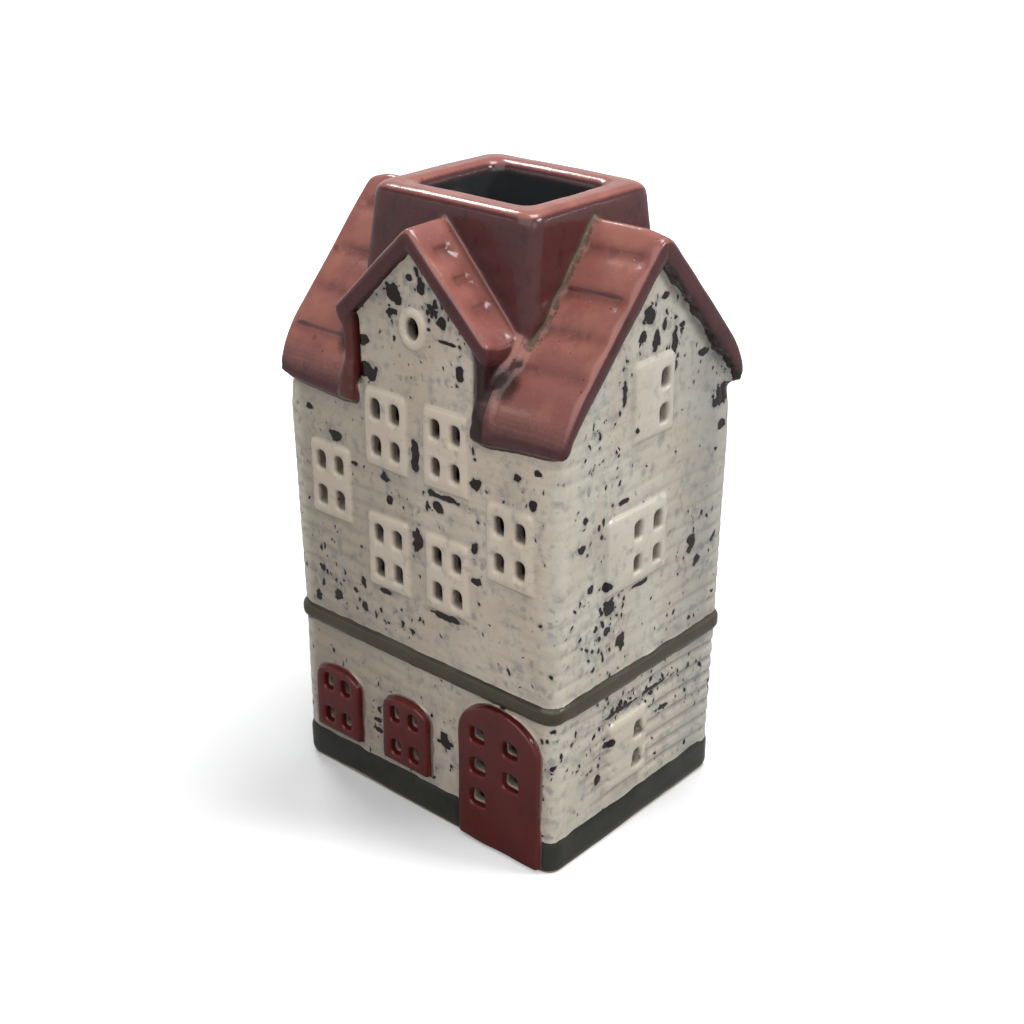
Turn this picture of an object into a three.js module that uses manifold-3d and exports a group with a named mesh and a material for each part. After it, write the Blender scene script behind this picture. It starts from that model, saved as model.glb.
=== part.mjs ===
// A glazed earthenware candle house: four walls on a floor, a steep roof with a cross gable
// over the front, and a wide chimney that lets the candle's warm air out.
// Millimetres, +Z up, the front looks along -Y, and the middle of the foot is the origin.
import * as THREE from 'three';
import { mergeVertices } from 'three/addons/utils/BufferGeometryUtils.js';
import Module from 'manifold-3d';

// Body of the house
const HOUSE_WIDTH = 80;
const HOUSE_DEPTH = 62.7;
const WALL = 4.3;
const WALL_CORNER = 3.2;
const FLOOR = 4.5;
const WALL_SEAT_DROP = 0.6;
const EAVE_LIP = 103.6;

// Joints: a bed of slip between slanted faces, and how far the foot trim stays off the table
const SLIP = 0.3;
const FOOT_GAP = 0.6;

// Main roof
const ROOF_PITCH = 47.1;
const ROOF_THICK = 4;
const EAVE_OVERHANG = 2.15;
const VERGE_OVERHANG = 2.95;
const BARGE_DEPTH = 3.5;
const BARGE_DROP = 1.6;

// Cross gable over the front
const CROSS_WIDTH = 42;
const CROSS_PITCH = 44;
const CROSS_OVERHANG = 1.6;
const CHEEK = 3.7;
const CROSS_BARGE_DEPTH = 2;

// Chimney
const CHIMNEY_WIDTH = 47;
const CHIMNEY_DEPTH = 41.6;
const CHIMNEY_RISE = 3.4;
const CHIMNEY_RIM = 7.5;
const CHIMNEY_FLARE = 2.2;
const CHIMNEY_FOOT = 25;
const CHIMNEY_CORNER = 4;
const RIM_ROUND = 2.4;
const FLUE_CORNER = 3;

// Painted bands round the walls
const PLINTH_TOP = 9.1;
const PLINTH_RELIEF = 0.6;
const COURSE_TOP = 44.4;
const COURSE_HEIGHT = 4.7;
const COURSE_RELIEF = 1;

// Pierced windows of the front
const PANE_WIDTH = 3.1;
const PANE_HEIGHT = 4.9;
const PANE_CORNER = 1.1;
const MULLION = 2.8;
const TRANSOM = 3.9;
const FRAME_WIDTH = 13.6;
const FRAME_HEIGHT = 19.4;
const FRAME_CORNER = 2.4;
const FRAME_RELIEF = 0.9;
const POST_GAP = 1.4;
const CORNER_GAP = 5.7;
const UPPER_WINDOW_DROP = 6.4;
const SIDE_WINDOW_DROP = 23.6;
const LOWER_WINDOW_RISE = 22.4;

// Round window at the top of the cross gable
const OCULUS_DROP = 22.8;
const OCULUS_WIDTH = 4;
const OCULUS_HEIGHT = 5.4;
const OCULUS_RIM = 1.9;

// Arched ground-floor windows
const ARCHED_WIDTH = 15.7;
const ARCHED_HEIGHT = 19.2;
const ARCHED_RISE = 4.5;
const ARCHED_SILL = 1.7;
const ARCHED_RELIEF = 2;
const ARCHED_CORNER_GAP = 4.5;
const ARCHED_MIDDLE_X = -4.6;
const ARCHED_PANE_HEIGHT = 4.2;
const ARCHED_TRANSOM = 5.1;

// Front door
const DOOR_WIDTH = 25;
const DOOR_TOP_GAP = 0.4;
const DOOR_RISE = 10;
const DOOR_RELIEF = 2;
const DOOR_CORNER_GAP = 2.7;
const DOOR_PANE_WIDTH = 4.4;
const DOOR_PANE_HEIGHT = 3.9;
const DOOR_PANE_PITCH_X = 10;
const DOOR_PANE_PITCH_Z = 8.5;
const DOOR_PANE_DROP = 9;
const DOOR_PANE_SHIFT = -0.9;

// Gable-end windows, measured along the gable from its middle
const GABLE_PANE_WIDTH = 3.2;
const GABLE_PANE_HEIGHT = 4.6;
const GABLE_TRANSOM = 3.6;
const GABLE_COLUMN_PITCH = 7.2;
const GABLE_FRAME_TOP_MARGIN = 3.6;
const GABLE_FRAME_BOTTOM_MARGIN = 2.6;
const GABLE_FRAME_SIDE_MARGIN = 2.4;
const ATTIC_WINDOW_RISE = 4.3;
const ATTIC_WINDOW_SHIFT = 4.2;
const MIDDLE_WINDOW_RISE = 30;
const MIDDLE_WINDOW_SHIFT = 3.6;
const GROUND_WINDOW_RISE = 12.6;
const GROUND_WINDOW_SHIFT = -0.7;

// Doorway in the back wall, wide enough for a tealight and two fingers
const DOORWAY_WIDTH = 44;
const DOORWAY_RISE = 13;
const DOORWAY_TOP_GAP = 2.2;

// Sizes worked out from the ones above
const HALF_WIDTH = HOUSE_WIDTH / 2;
const HALF_DEPTH = HOUSE_DEPTH / 2;
const SLOPE = Math.tan(THREE.MathUtils.degToRad(ROOF_PITCH));
const ROOF_FALL = ROOF_THICK * Math.hypot(1, SLOPE);
const SLIP_FALL = SLIP * Math.hypot(1, SLOPE);
const EAVE_OUT = HALF_DEPTH + EAVE_OVERHANG;
const VERGE_OUT = HALF_WIDTH + VERGE_OVERHANG;
const RIDGE = EAVE_LIP + ROOF_FALL + EAVE_OUT * SLOPE;
const CROSS_SLOPE = Math.tan(THREE.MathUtils.degToRad(CROSS_PITCH));
const CROSS_FALL = ROOF_THICK * Math.hypot(1, CROSS_SLOPE);
const CROSS_SLIP = SLIP * Math.hypot(1, CROSS_SLOPE);
const CROSS_HALF = CROSS_WIDTH / 2;
const CROSS_INNER = CROSS_HALF - CHEEK;
const CROSS_OUT = CROSS_HALF + CROSS_OVERHANG;
const CHIMNEY_TOP = RIDGE + CHIMNEY_RISE;
const CHIMNEY_FRONT = CHIMNEY_DEPTH / 2;
const FLUE_HALF_WIDTH = CHIMNEY_WIDTH / 2 - CHIMNEY_RIM;
const FLUE_HALF_DEPTH = CHIMNEY_DEPTH / 2 - CHIMNEY_RIM;
const WALL_SEAT = FLOOR - WALL_SEAT_DROP;
const COURSE_BOTTOM = COURSE_TOP - COURSE_HEIGHT;
const DOOR_TOP = COURSE_BOTTOM - DOOR_TOP_GAP;
const DOOR_X = HALF_WIDTH - DOOR_CORNER_GAP - DOOR_WIDTH / 2;
const DOOR_HEIGHT = DOOR_TOP - FOOT_GAP;
const FAR = 300;

// Height of the main roof's top and underside over a point y, and of the cross roof's over x
const roofTop = (y) => RIDGE - Math.abs(y) * SLOPE;
const roofUnder = (y) => roofTop(y) - ROOF_FALL;
const crossUnder = (x) => RIDGE - CROSS_FALL - Math.abs(x) * CROSS_SLOPE;

// Colours and finishes
const CREAM = { color: 0xcfc4b4, roughness: 0.22, metalness: 0 };
const MAUVE = { color: 0x96605a, roughness: 0.25, metalness: 0 };
const MAROON = { color: 0x502c2f, roughness: 0.2, metalness: 0 };
const RED = { color: 0x6d221f, roughness: 0.2, metalness: 0 };
const OLIVE = { color: 0x3d3a2e, roughness: 0.28, metalness: 0 };
const GREEN = { color: 0x2f332d, roughness: 0.28, metalness: 0 };
const CLAY = { color: 0xb59f86, roughness: 0.8, metalness: 0 };

const wasm = await Module();
wasm.setup();

const house = new THREE.Group();
house.name = 'candle_house';

// Solids: closed three.js geometry in, manifold out, and back again

function solid(geometry) {
  const bare = geometry.clone();
  bare.deleteAttribute('normal');
  bare.deleteAttribute('uv');
  const merged = mergeVertices(bare);
  const vertProperties = new Float32Array(merged.attributes.position.array);
  const triVerts = new Uint32Array(merged.index.array);
  return new wasm.Manifold(new wasm.Mesh({ numProp: 3, vertProperties, triVerts }));
}

function geometryOf(manifold) {
  const mesh = manifold.getMesh();
  const geometry = new THREE.BufferGeometry();
  geometry.setAttribute('position', new THREE.BufferAttribute(mesh.vertProperties, 3));
  geometry.setIndex(new THREE.BufferAttribute(mesh.triVerts, 1));
  geometry.computeVertexNormals();
  return geometry;
}

function cut(body, ...tools) {
  return tools.reduce((left, tool) => left.subtract(tool), body);
}

function addPiece(name, geometry, finish, position = [0, 0, 0]) {
  const mesh = new THREE.Mesh(geometry, new THREE.MeshStandardMaterial(finish));
  mesh.name = name;
  mesh.position.set(...position);
  house.add(mesh);
}

// Faces of the house: "across" runs to the right as one looks at the face, and "out" off the wall

function face(across, distance) {
  const right = new THREE.Vector3(...across);
  const up = new THREE.Vector3(0, 0, 1);
  const out = new THREE.Vector3().crossVectors(right, up);
  return { right, out, distance, turn: new THREE.Matrix4().makeBasis(right, up, out) };
}

const FRONT = face([1, 0, 0], HALF_DEPTH);
const BACK = face([-1, 0, 0], HALF_DEPTH);
const RIGHT = face([0, 1, 0], HALF_WIDTH);
const LEFT = face([0, -1, 0], HALF_WIDTH);

function onFace(where, across, height) {
  const point = where.out.clone().multiplyScalar(where.distance);
  return point.addScaledVector(where.right, across).setZ(height).toArray();
}

function relief(where, shape, depth) {
  return new THREE.ExtrudeGeometry(shape, { depth, bevelEnabled: false }).applyMatrix4(where.turn);
}

function holeThroughWall(where, shape, across, height) {
  const inner = { ...where, distance: where.distance - 2 * WALL };
  return solid(relief(where, shape, 4 * WALL).translate(...onFace(inner, across, height)));
}

// Plain blocks, and prisms along X with their outline given as [y, z] pairs

function block(x0, x1, y0, y1, z0, z1) {
  const geometry = new THREE.BoxGeometry(x1 - x0, y1 - y0, z1 - z0);
  return geometry.translate((x0 + x1) / 2, (y0 + y1) / 2, (z0 + z1) / 2);
}

function outline(points) {
  return new THREE.Shape(points.map(([a, b]) => new THREE.Vector2(a, b)));
}

function prismAlongX(points, x0, x1) {
  const geometry = new THREE.ExtrudeGeometry(outline(points), { depth: x1 - x0, bevelEnabled: false });
  return geometry.applyMatrix4(RIGHT.turn).translate(x0, 0, 0);
}

function prismAlongY(points, y0, y1) {
  const geometry = new THREE.ExtrudeGeometry(outline(points), { depth: y1 - y0, bevelEnabled: false });
  return geometry.applyMatrix4(FRONT.turn).translate(0, y1, 0);
}

// Everything under a pair of slopes, to trim walls and to cut one roof by the other

function underMainRoof(ridge) {
  const low = ridge - FAR * SLOPE;
  return solid(prismAlongX([[-FAR, low], [FAR, low], [0, ridge]], -FAR, FAR));
}

function underCrossRoof(ridge) {
  const low = ridge - FAR * CROSS_SLOPE;
  return solid(prismAlongY([[-FAR, low], [FAR, low], [0, ridge]], -FAR, FAR));
}

// Window outlines, as points round their middle at (0, 0)

function arc(x, y, radiusX, radiusY, start, turn, steps) {
  return Array.from({ length: steps + 1 }, (_, i) => {
    const angle = (start + (turn * i) / steps) * (Math.PI / 2);
    return new THREE.Vector2(x + radiusX * Math.cos(angle), y + radiusY * Math.sin(angle));
  });
}

function roundTopped(width, height, corner) {
  const [w, h] = [width / 2, height / 2];
  const foot = [new THREE.Vector2(-w, -h), new THREE.Vector2(w, -h)];
  const right = arc(w - corner, h - corner, corner, corner, 0, 1, 3);
  return [...foot, ...right, ...arc(corner - w, h - corner, corner, corner, 1, 1, 3)];
}

function arched(width, height, rise) {
  const [w, h] = [width / 2, height / 2];
  const foot = [new THREE.Vector2(-w, -h), new THREE.Vector2(w, -h)];
  return [...foot, ...arc(0, h - rise, w, rise, 0, 2, 12)];
}

function paneCutter(where, window, pane) {
  const shape = new THREE.Shape(roundTopped(pane.width, pane.height, PANE_CORNER));
  return holeThroughWall(where, shape, window.x + pane.x, window.z + pane.y);
}

// Each window is its outline, its place on a face and the panes pierced through it and the wall

function paneGrid(columns, rows, width, height) {
  return columns.flatMap((x) => rows.map((y) => ({ x, y, width, height })));
}

function frontWindow(name, x, z) {
  const column = (PANE_WIDTH + MULLION) / 2;
  const row = (PANE_HEIGHT + TRANSOM) / 2;
  const panes = paneGrid([-column, column], [-row, row], PANE_WIDTH, PANE_HEIGHT);
  const shape = new THREE.Shape(roundTopped(FRAME_WIDTH, FRAME_HEIGHT, FRAME_CORNER));
  return { name, x, z, panes, shape, depth: FRAME_RELIEF, finish: CREAM };
}

function archedWindow(name, x) {
  const z = PLINTH_TOP + ARCHED_SILL + ARCHED_HEIGHT / 2;
  const column = (PANE_WIDTH + MULLION) / 2;
  const row = (ARCHED_PANE_HEIGHT + ARCHED_TRANSOM) / 2;
  const panes = paneGrid([-column, column], [-row, row], PANE_WIDTH, ARCHED_PANE_HEIGHT);
  const shape = new THREE.Shape(arched(ARCHED_WIDTH, ARCHED_HEIGHT, ARCHED_RISE));
  return { name, x, z, panes, shape, depth: ARCHED_RELIEF, finish: RED };
}

function doorPanes() {
  const left = DOOR_PANE_SHIFT - DOOR_PANE_PITCH_X / 2;
  const top = DOOR_HEIGHT / 2 - DOOR_PANE_DROP;
  const places = [[0, 0], [0, 1], [0, 2], [1, 0], [1, 1]];
  return places.map(([column, row]) => ({
    x: left + column * DOOR_PANE_PITCH_X,
    y: top - row * DOOR_PANE_PITCH_Z,
    width: DOOR_PANE_WIDTH,
    height: DOOR_PANE_HEIGHT,
  }));
}

function frontDoor() {
  const z = FOOT_GAP + DOOR_HEIGHT / 2;
  const shape = new THREE.Shape(arched(DOOR_WIDTH, DOOR_HEIGHT, DOOR_RISE));
  return { name: 'front_door', x: DOOR_X, z, panes: doorPanes(), shape, depth: DOOR_RELIEF, finish: RED };
}

// A gable window has open pane columns, and blind ones that the glaze has closed. Side is +1 for
// the right gable and -1 for the left, which mirrors it.
function gableWindow(name, side, middleOpen, open, blind, z) {
  const row = (GABLE_PANE_HEIGHT + GABLE_TRANSOM) / 2;
  const columns = Array.from({ length: open }, (_, i) => -i * GABLE_COLUMN_PITCH);
  const reach = (open + blind - 1) * GABLE_COLUMN_PITCH + GABLE_PANE_WIDTH + 2 * GABLE_FRAME_SIDE_MARGIN;
  const tall = 2 * row + GABLE_PANE_HEIGHT + GABLE_FRAME_TOP_MARGIN + GABLE_FRAME_BOTTOM_MARGIN;
  const middle = GABLE_PANE_WIDTH / 2 + GABLE_FRAME_SIDE_MARGIN - reach / 2;
  const lift = (GABLE_FRAME_TOP_MARGIN - GABLE_FRAME_BOTTOM_MARGIN) / 2;
  const places = columns.map((x) => side * (x - middle));
  const panes = paneGrid(places, [-row - lift, row - lift], GABLE_PANE_WIDTH, GABLE_PANE_HEIGHT);
  const shape = new THREE.Shape(roundTopped(reach, tall, FRAME_CORNER));
  return { name, x: side * (middleOpen + middle), z: z + lift, panes, shape, depth: FRAME_RELIEF, finish: CREAM };
}

function gableWindows(label, side) {
  const attic = EAVE_LIP + ATTIC_WINDOW_RISE;
  const middle = COURSE_TOP + MIDDLE_WINDOW_RISE;
  const ground = PLINTH_TOP + GROUND_WINDOW_RISE;
  return [
    gableWindow(`${label}_attic_window`, side, ATTIC_WINDOW_SHIFT, 1, 1, attic),
    gableWindow(`${label}_middle_window`, side, MIDDLE_WINDOW_SHIFT, 2, 1, middle),
    gableWindow(`${label}_ground_window`, side, GROUND_WINDOW_SHIFT, 1, 1, ground),
  ];
}

function frontWindows() {
  const inner = CROSS_INNER - POST_GAP - FRAME_WIDTH / 2;
  const outer = HALF_WIDTH - CORNER_GAP - FRAME_WIDTH / 2;
  const upper = EAVE_LIP - UPPER_WINDOW_DROP;
  const side = EAVE_LIP - SIDE_WINDOW_DROP;
  const lower = COURSE_TOP + LOWER_WINDOW_RISE;
  return [
    frontWindow('upper_window_left', -inner, upper),
    frontWindow('upper_window_right', inner, upper),
    frontWindow('lower_window_left', -inner, lower),
    frontWindow('lower_window_right', inner, lower),
    frontWindow('side_window_left', -outer, side),
    frontWindow('side_window_right', outer, side),
    archedWindow('arched_window_left', ARCHED_CORNER_GAP + ARCHED_WIDTH / 2 - HALF_WIDTH),
    archedWindow('arched_window_middle', ARCHED_MIDDLE_X),
    frontDoor(),
  ];
}

function piercings(where, windows) {
  return windows.flatMap((window) => window.panes.map((pane) => paneCutter(where, window, pane)));
}

function addRelief(name, where, shape, depth, x, z, holes, finish) {
  const [px, py, pz] = onFace(where, x, z);
  const plate = solid(relief(where, shape, depth).translate(px, py, pz));
  const geometry = geometryOf(cut(plate, ...holes)).translate(-px, -py, -pz);
  addPiece(name, geometry, finish, [px, py, pz]);
}

function addWindows(where, windows) {
  for (const { name, shape, depth, x, z, panes, finish } of windows) {
    addRelief(name, where, shape, depth, x, z, piercings(where, [{ x, z, panes }]), finish);
  }
}

// The round window over the front

function ellipse(width, height, steps) {
  return arc(0, 0, width / 2, height / 2, 0, 4, steps).slice(0, -1);
}

const OCULUS_Z = RIDGE - OCULUS_DROP;

function oculusHole() {
  return holeThroughWall(FRONT, new THREE.Shape(ellipse(OCULUS_WIDTH, OCULUS_HEIGHT, 16)), 0, OCULUS_Z);
}

function addOculusRing() {
  const rim = ellipse(OCULUS_WIDTH + 2 * OCULUS_RIM, OCULUS_HEIGHT + 2 * OCULUS_RIM, 20);
  addRelief('oculus_ring', FRONT, new THREE.Shape(rim), FRAME_RELIEF, 0, OCULUS_Z, [oculusHole()], CREAM);
}

// Rings of a rounded rectangle joined from the bottom up

function ring(halfWidth, halfDepth, corner, z) {
  const points = [];
  for (const [sx, sy, start] of [[1, 1, 0], [-1, 1, 1], [-1, -1, 2], [1, -1, 3]]) {
    for (let i = 0; i <= 4; i += 1) {
      const angle = (start + i / 4) * (Math.PI / 2);
      const x = sx * (halfWidth - corner) + corner * Math.cos(angle);
      points.push([x, sy * (halfDepth - corner) + corner * Math.sin(angle), z]);
    }
  }
  return points;
}

function loft(rings) {
  const count = rings[0].length;
  const index = [];
  for (let r = 0; r + 1 < rings.length; r += 1) {
    for (let i = 0; i < count; i += 1) {
      const [a, b] = [r * count + i, r * count + ((i + 1) % count)];
      index.push(a, b, b + count, a, b + count, a + count);
    }
  }
  const top = (rings.length - 1) * count;
  for (let i = 1; i + 1 < count; i += 1) {
    index.push(0, i + 1, i, top, top + i, top + i + 1);
  }
  const geometry = new THREE.BufferGeometry();
  geometry.setAttribute('position', new THREE.Float32BufferAttribute(rings.flat(2), 3));
  geometry.setIndex(index);
  return solid(geometry);
}

// The house's rounded footprint, larger all round by "grow", from one height to another
function footprint(grow, z0, z1) {
  const [w, d, corner] = [HALF_WIDTH + grow, HALF_DEPTH + grow, WALL_CORNER + grow];
  return loft([ring(w, d, corner, z0), ring(w, d, corner, z1)]);
}

// Floor and walls

// The walls stand on a ledge round the slab. The deck inside them is a little higher, and runs
// out through the doorway as its sill.
function addFloor() {
  const [w, d] = [HALF_WIDTH - WALL - SLIP, HALF_DEPTH - WALL - SLIP];
  const sill = DOORWAY_WIDTH / 2 - SLIP;
  const deck = solid(block(-w, w, -d, d, 0, FLOOR));
  const tongue = solid(block(-sill, sill, 0, HALF_DEPTH, 0, FLOOR));
  addPiece('floor_slab', geometryOf(footprint(0, 0, WALL_SEAT).add(deck).add(tongue)), CLAY);
}

function wallUnderRoof(x0, x1, y0, y1) {
  const full = solid(block(x0, x1, y0, y1, WALL_SEAT, FAR)).intersect(footprint(0, 0, FAR));
  return full.intersect(underMainRoof(RIDGE - ROOF_FALL - SLIP_FALL));
}

function addFrontWall(windows) {
  const inside = WALL - HALF_DEPTH;
  const wall = wallUnderRoof(-HALF_WIDTH, HALF_WIDTH, -HALF_DEPTH, inside);
  const half = CROSS_INNER - SLIP;
  const middle = solid(block(-half, half, -HALF_DEPTH, inside, WALL_SEAT, FAR));
  const gable = middle.intersect(underCrossRoof(RIDGE - CROSS_FALL - CROSS_SLIP));
  const pierced = cut(wall.add(gable), oculusHole(), ...piercings(FRONT, windows));
  addPiece('front_wall', geometryOf(pierced), CREAM);
}

function addGableWall(name, where, windows) {
  const side = where.out.x;
  const [near, far] = [side * (HALF_WIDTH - WALL), side * HALF_WIDTH];
  const [x0, x1] = [Math.min(near, far), Math.max(near, far)];
  const wall = wallUnderRoof(x0, x1, WALL - HALF_DEPTH, HALF_DEPTH - WALL);
  addPiece(name, geometryOf(cut(wall, ...piercings(where, windows))), CREAM);
}

function addBackWall() {
  const wall = wallUnderRoof(-HALF_WIDTH, HALF_WIDTH, HALF_DEPTH - WALL, HALF_DEPTH);
  const height = COURSE_BOTTOM - DOORWAY_TOP_GAP;
  const shape = new THREE.Shape(arched(DOORWAY_WIDTH, height, DOORWAY_RISE));
  const doorway = holeThroughWall(BACK, shape, 0, height / 2);
  addPiece('back_wall', geometryOf(cut(wall, doorway)), CREAM);
}

// Bands round the foot and between the storeys

function band(outBy, z0, z1) {
  return footprint(outBy, z0, z1).subtract(footprint(0, z0 - 1, z1 + 1));
}

function addBands() {
  const half = DOOR_WIDTH / 2 + SLIP;
  const doorGap = solid(block(DOOR_X - half, DOOR_X + half, -FAR, -HALF_DEPTH, -1, DOOR_TOP));
  const sill = solid(block(-DOORWAY_WIDTH / 2, DOORWAY_WIDTH / 2, HALF_DEPTH, FAR, FLOOR, DOOR_TOP));
  const plinth = cut(band(PLINTH_RELIEF, FOOT_GAP, PLINTH_TOP), doorGap, sill);
  addPiece('plinth_band', geometryOf(plinth), GREEN);
  addPiece('string_course', geometryOf(band(COURSE_RELIEF, COURSE_BOTTOM, COURSE_TOP)), OLIVE);
}

// Chimney

// The chimney's outside, larger all round by "grow" where a neighbour is cut to clear it
function chimneyOutside(grow) {
  const spread = CHIMNEY_FLARE * ((CHIMNEY_FOOT + CHIMNEY_RISE + ROOF_FALL) / CHIMNEY_FOOT);
  const foot = CHIMNEY_TOP - CHIMNEY_FOOT - CHIMNEY_RISE - ROOF_FALL;
  const [w, d] = [CHIMNEY_WIDTH / 2 + grow, CHIMNEY_DEPTH / 2 + grow];
  const rings = [ring(w + spread, d + spread, CHIMNEY_CORNER, foot)];
  for (let i = 0; i <= 3; i += 1) {
    const angle = (i / 3) * (Math.PI / 2);
    const inset = RIM_ROUND * (1 - Math.cos(angle));
    const z = CHIMNEY_TOP + grow - RIM_ROUND * (1 - Math.sin(angle));
    rings.push(ring(w - inset, d - inset, CHIMNEY_CORNER, z));
  }
  return loft(rings);
}

function flue() {
  const [w, d] = [FLUE_HALF_WIDTH, FLUE_HALF_DEPTH];
  const rings = [ring(w, d, FLUE_CORNER, 0)];
  for (let i = 0; i <= 3; i += 1) {
    const angle = (i / 3) * (Math.PI / 2);
    const flare = RIM_ROUND * (1 - Math.cos(angle));
    const z = CHIMNEY_TOP - RIM_ROUND * (1 - Math.sin(angle));
    rings.push(ring(w + flare, d + flare, FLUE_CORNER, z));
  }
  rings.push(ring(w + RIM_ROUND, d + RIM_ROUND, FLUE_CORNER, CHIMNEY_TOP + 5));
  return loft(rings);
}

function addChimney() {
  const body = cut(chimneyOutside(0), flue(), underMainRoof(RIDGE + SLIP_FALL));
  addPiece('chimney', geometryOf(body), MAUVE);
}

// Main roof: the slopes stop at the cross gable's well, and the flue goes through them

function slope(side, x0, x1) {
  const points = [[0, RIDGE], [0, RIDGE - ROOF_FALL], [side * EAVE_OUT, EAVE_LIP]];
  points.push([side * EAVE_OUT, EAVE_LIP + ROOF_FALL]);
  return solid(prismAlongX(side < 0 ? points.reverse() : points, x0, x1));
}

function addMainRoof() {
  const half = CROSS_HALF + SLIP;
  const well = solid(block(-half, half, -FAR, -CHIMNEY_FRONT, 0, FAR));
  const [w, d] = [FLUE_HALF_WIDTH, FLUE_HALF_DEPTH];
  const shaft = solid(block(-w, w, -d, d, 0, FAR));
  addPiece('roof_front_left', geometryOf(cut(slope(-1, -VERGE_OUT, 0), well, shaft)), MAUVE);
  addPiece('roof_front_right', geometryOf(cut(slope(-1, 0, VERGE_OUT), well, shaft)), MAUVE);
  addPiece('roof_back', geometryOf(cut(slope(1, -VERGE_OUT, VERGE_OUT), shaft)), MAUVE);
}

// Bargeboards on the gable ends, under the verge
function addBargeboard(name, end, side) {
  const fall = BARGE_DEPTH * Math.hypot(1, SLOPE);
  const [tip, low] = [side * EAVE_OUT, EAVE_LIP - BARGE_DROP];
  const heel = side * (EAVE_OUT - (fall - BARGE_DROP + SLIP_FALL) / SLOPE);
  const top = RIDGE - ROOF_FALL - SLIP_FALL;
  const points = [[0, top], [0, top - fall], [heel, low], [tip, low], [tip, EAVE_LIP - SLIP_FALL]];
  const [x0, x1] = end < 0 ? [-VERGE_OUT, -HALF_WIDTH] : [HALF_WIDTH, VERGE_OUT];
  addPiece(name, prismAlongX(side < 0 ? points.reverse() : points, x0, x1), MAROON);
}

// Cross gable: two slopes, the cheeks under them, and bargeboards between the cheeks

function addCrossSlope(name, side) {
  const eave = RIDGE - CROSS_OUT * CROSS_SLOPE;
  const points = [[0, RIDGE], [0, RIDGE - CROSS_FALL], [side * CROSS_OUT, eave - CROSS_FALL]];
  points.push([side * CROSS_OUT, eave]);
  const slab = solid(prismAlongY(side < 0 ? points.reverse() : points, -EAVE_OUT, -CHIMNEY_FRONT));
  const body = cut(slab, chimneyOutside(SLIP), underMainRoof(RIDGE + SLIP_FALL));
  addPiece(name, geometryOf(body), MAUVE);
}

function addCheek(name, side) {
  const back = -CHIMNEY_FRONT - SLIP;
  const points = [[-EAVE_OUT, EAVE_LIP], [-HALF_DEPTH, EAVE_LIP], [-HALF_DEPTH, roofUnder(HALF_DEPTH)]];
  points.push([back, roofUnder(back)], [back, RIDGE], [-EAVE_OUT, RIDGE]);
  const [x0, x1] = side < 0 ? [-CROSS_HALF, -CROSS_INNER] : [CROSS_INNER, CROSS_HALF];
  const full = solid(prismAlongX(points, x0, x1));
  const under = full.intersect(underCrossRoof(RIDGE - CROSS_FALL - CROSS_SLIP));
  addPiece(name, geometryOf(under.subtract(chimneyOutside(SLIP))), MAROON);
}

function addCrossBargeboard(name, side) {
  const fall = CROSS_BARGE_DEPTH * Math.hypot(1, CROSS_SLOPE);
  const end = CROSS_INNER - SLIP;
  const top = (x) => crossUnder(x) - CROSS_SLIP;
  const points = [[0, top(0)], [0, top(0) - fall], [side * end, top(end) - fall]];
  points.push([side * end, top(end)]);
  addPiece(name, prismAlongY(side < 0 ? points.reverse() : points, -EAVE_OUT, -HALF_DEPTH), MAROON);
}

const front = frontWindows();
const right = gableWindows('right_gable', 1);
const left = gableWindows('left_gable', -1);

addFloor();
addFrontWall(front);
addBackWall();
addGableWall('left_gable_wall', LEFT, left);
addGableWall('right_gable_wall', RIGHT, right);
addBands();
addWindows(FRONT, front);
addWindows(RIGHT, right);
addWindows(LEFT, left);
addOculusRing();
addMainRoof();
addBargeboard('left_bargeboard_front', -1, -1);
addBargeboard('left_bargeboard_back', -1, 1);
addBargeboard('right_bargeboard_front', 1, -1);
addBargeboard('right_bargeboard_back', 1, 1);
addCrossSlope('cross_roof_left', -1);
addCrossSlope('cross_roof_right', 1);
addCheek('cross_cheek_left', -1);
addCheek('cross_cheek_right', 1);
addCrossBargeboard('cross_bargeboard_left', -1);
addCrossBargeboard('cross_bargeboard_right', 1);
addChimney();

export default house;
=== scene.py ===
# %% [markdown]
# # A glazed candle house
#
# The real thing is one hollow slip casting in earthenware, about 149 mm tall. It was glazed white on
# the walls, pink-brown on the roof, red on the door and the arched windows, and olive and green on
# two bands. This lesson starts from the measured solids and gives every one of them its fired look.

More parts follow.
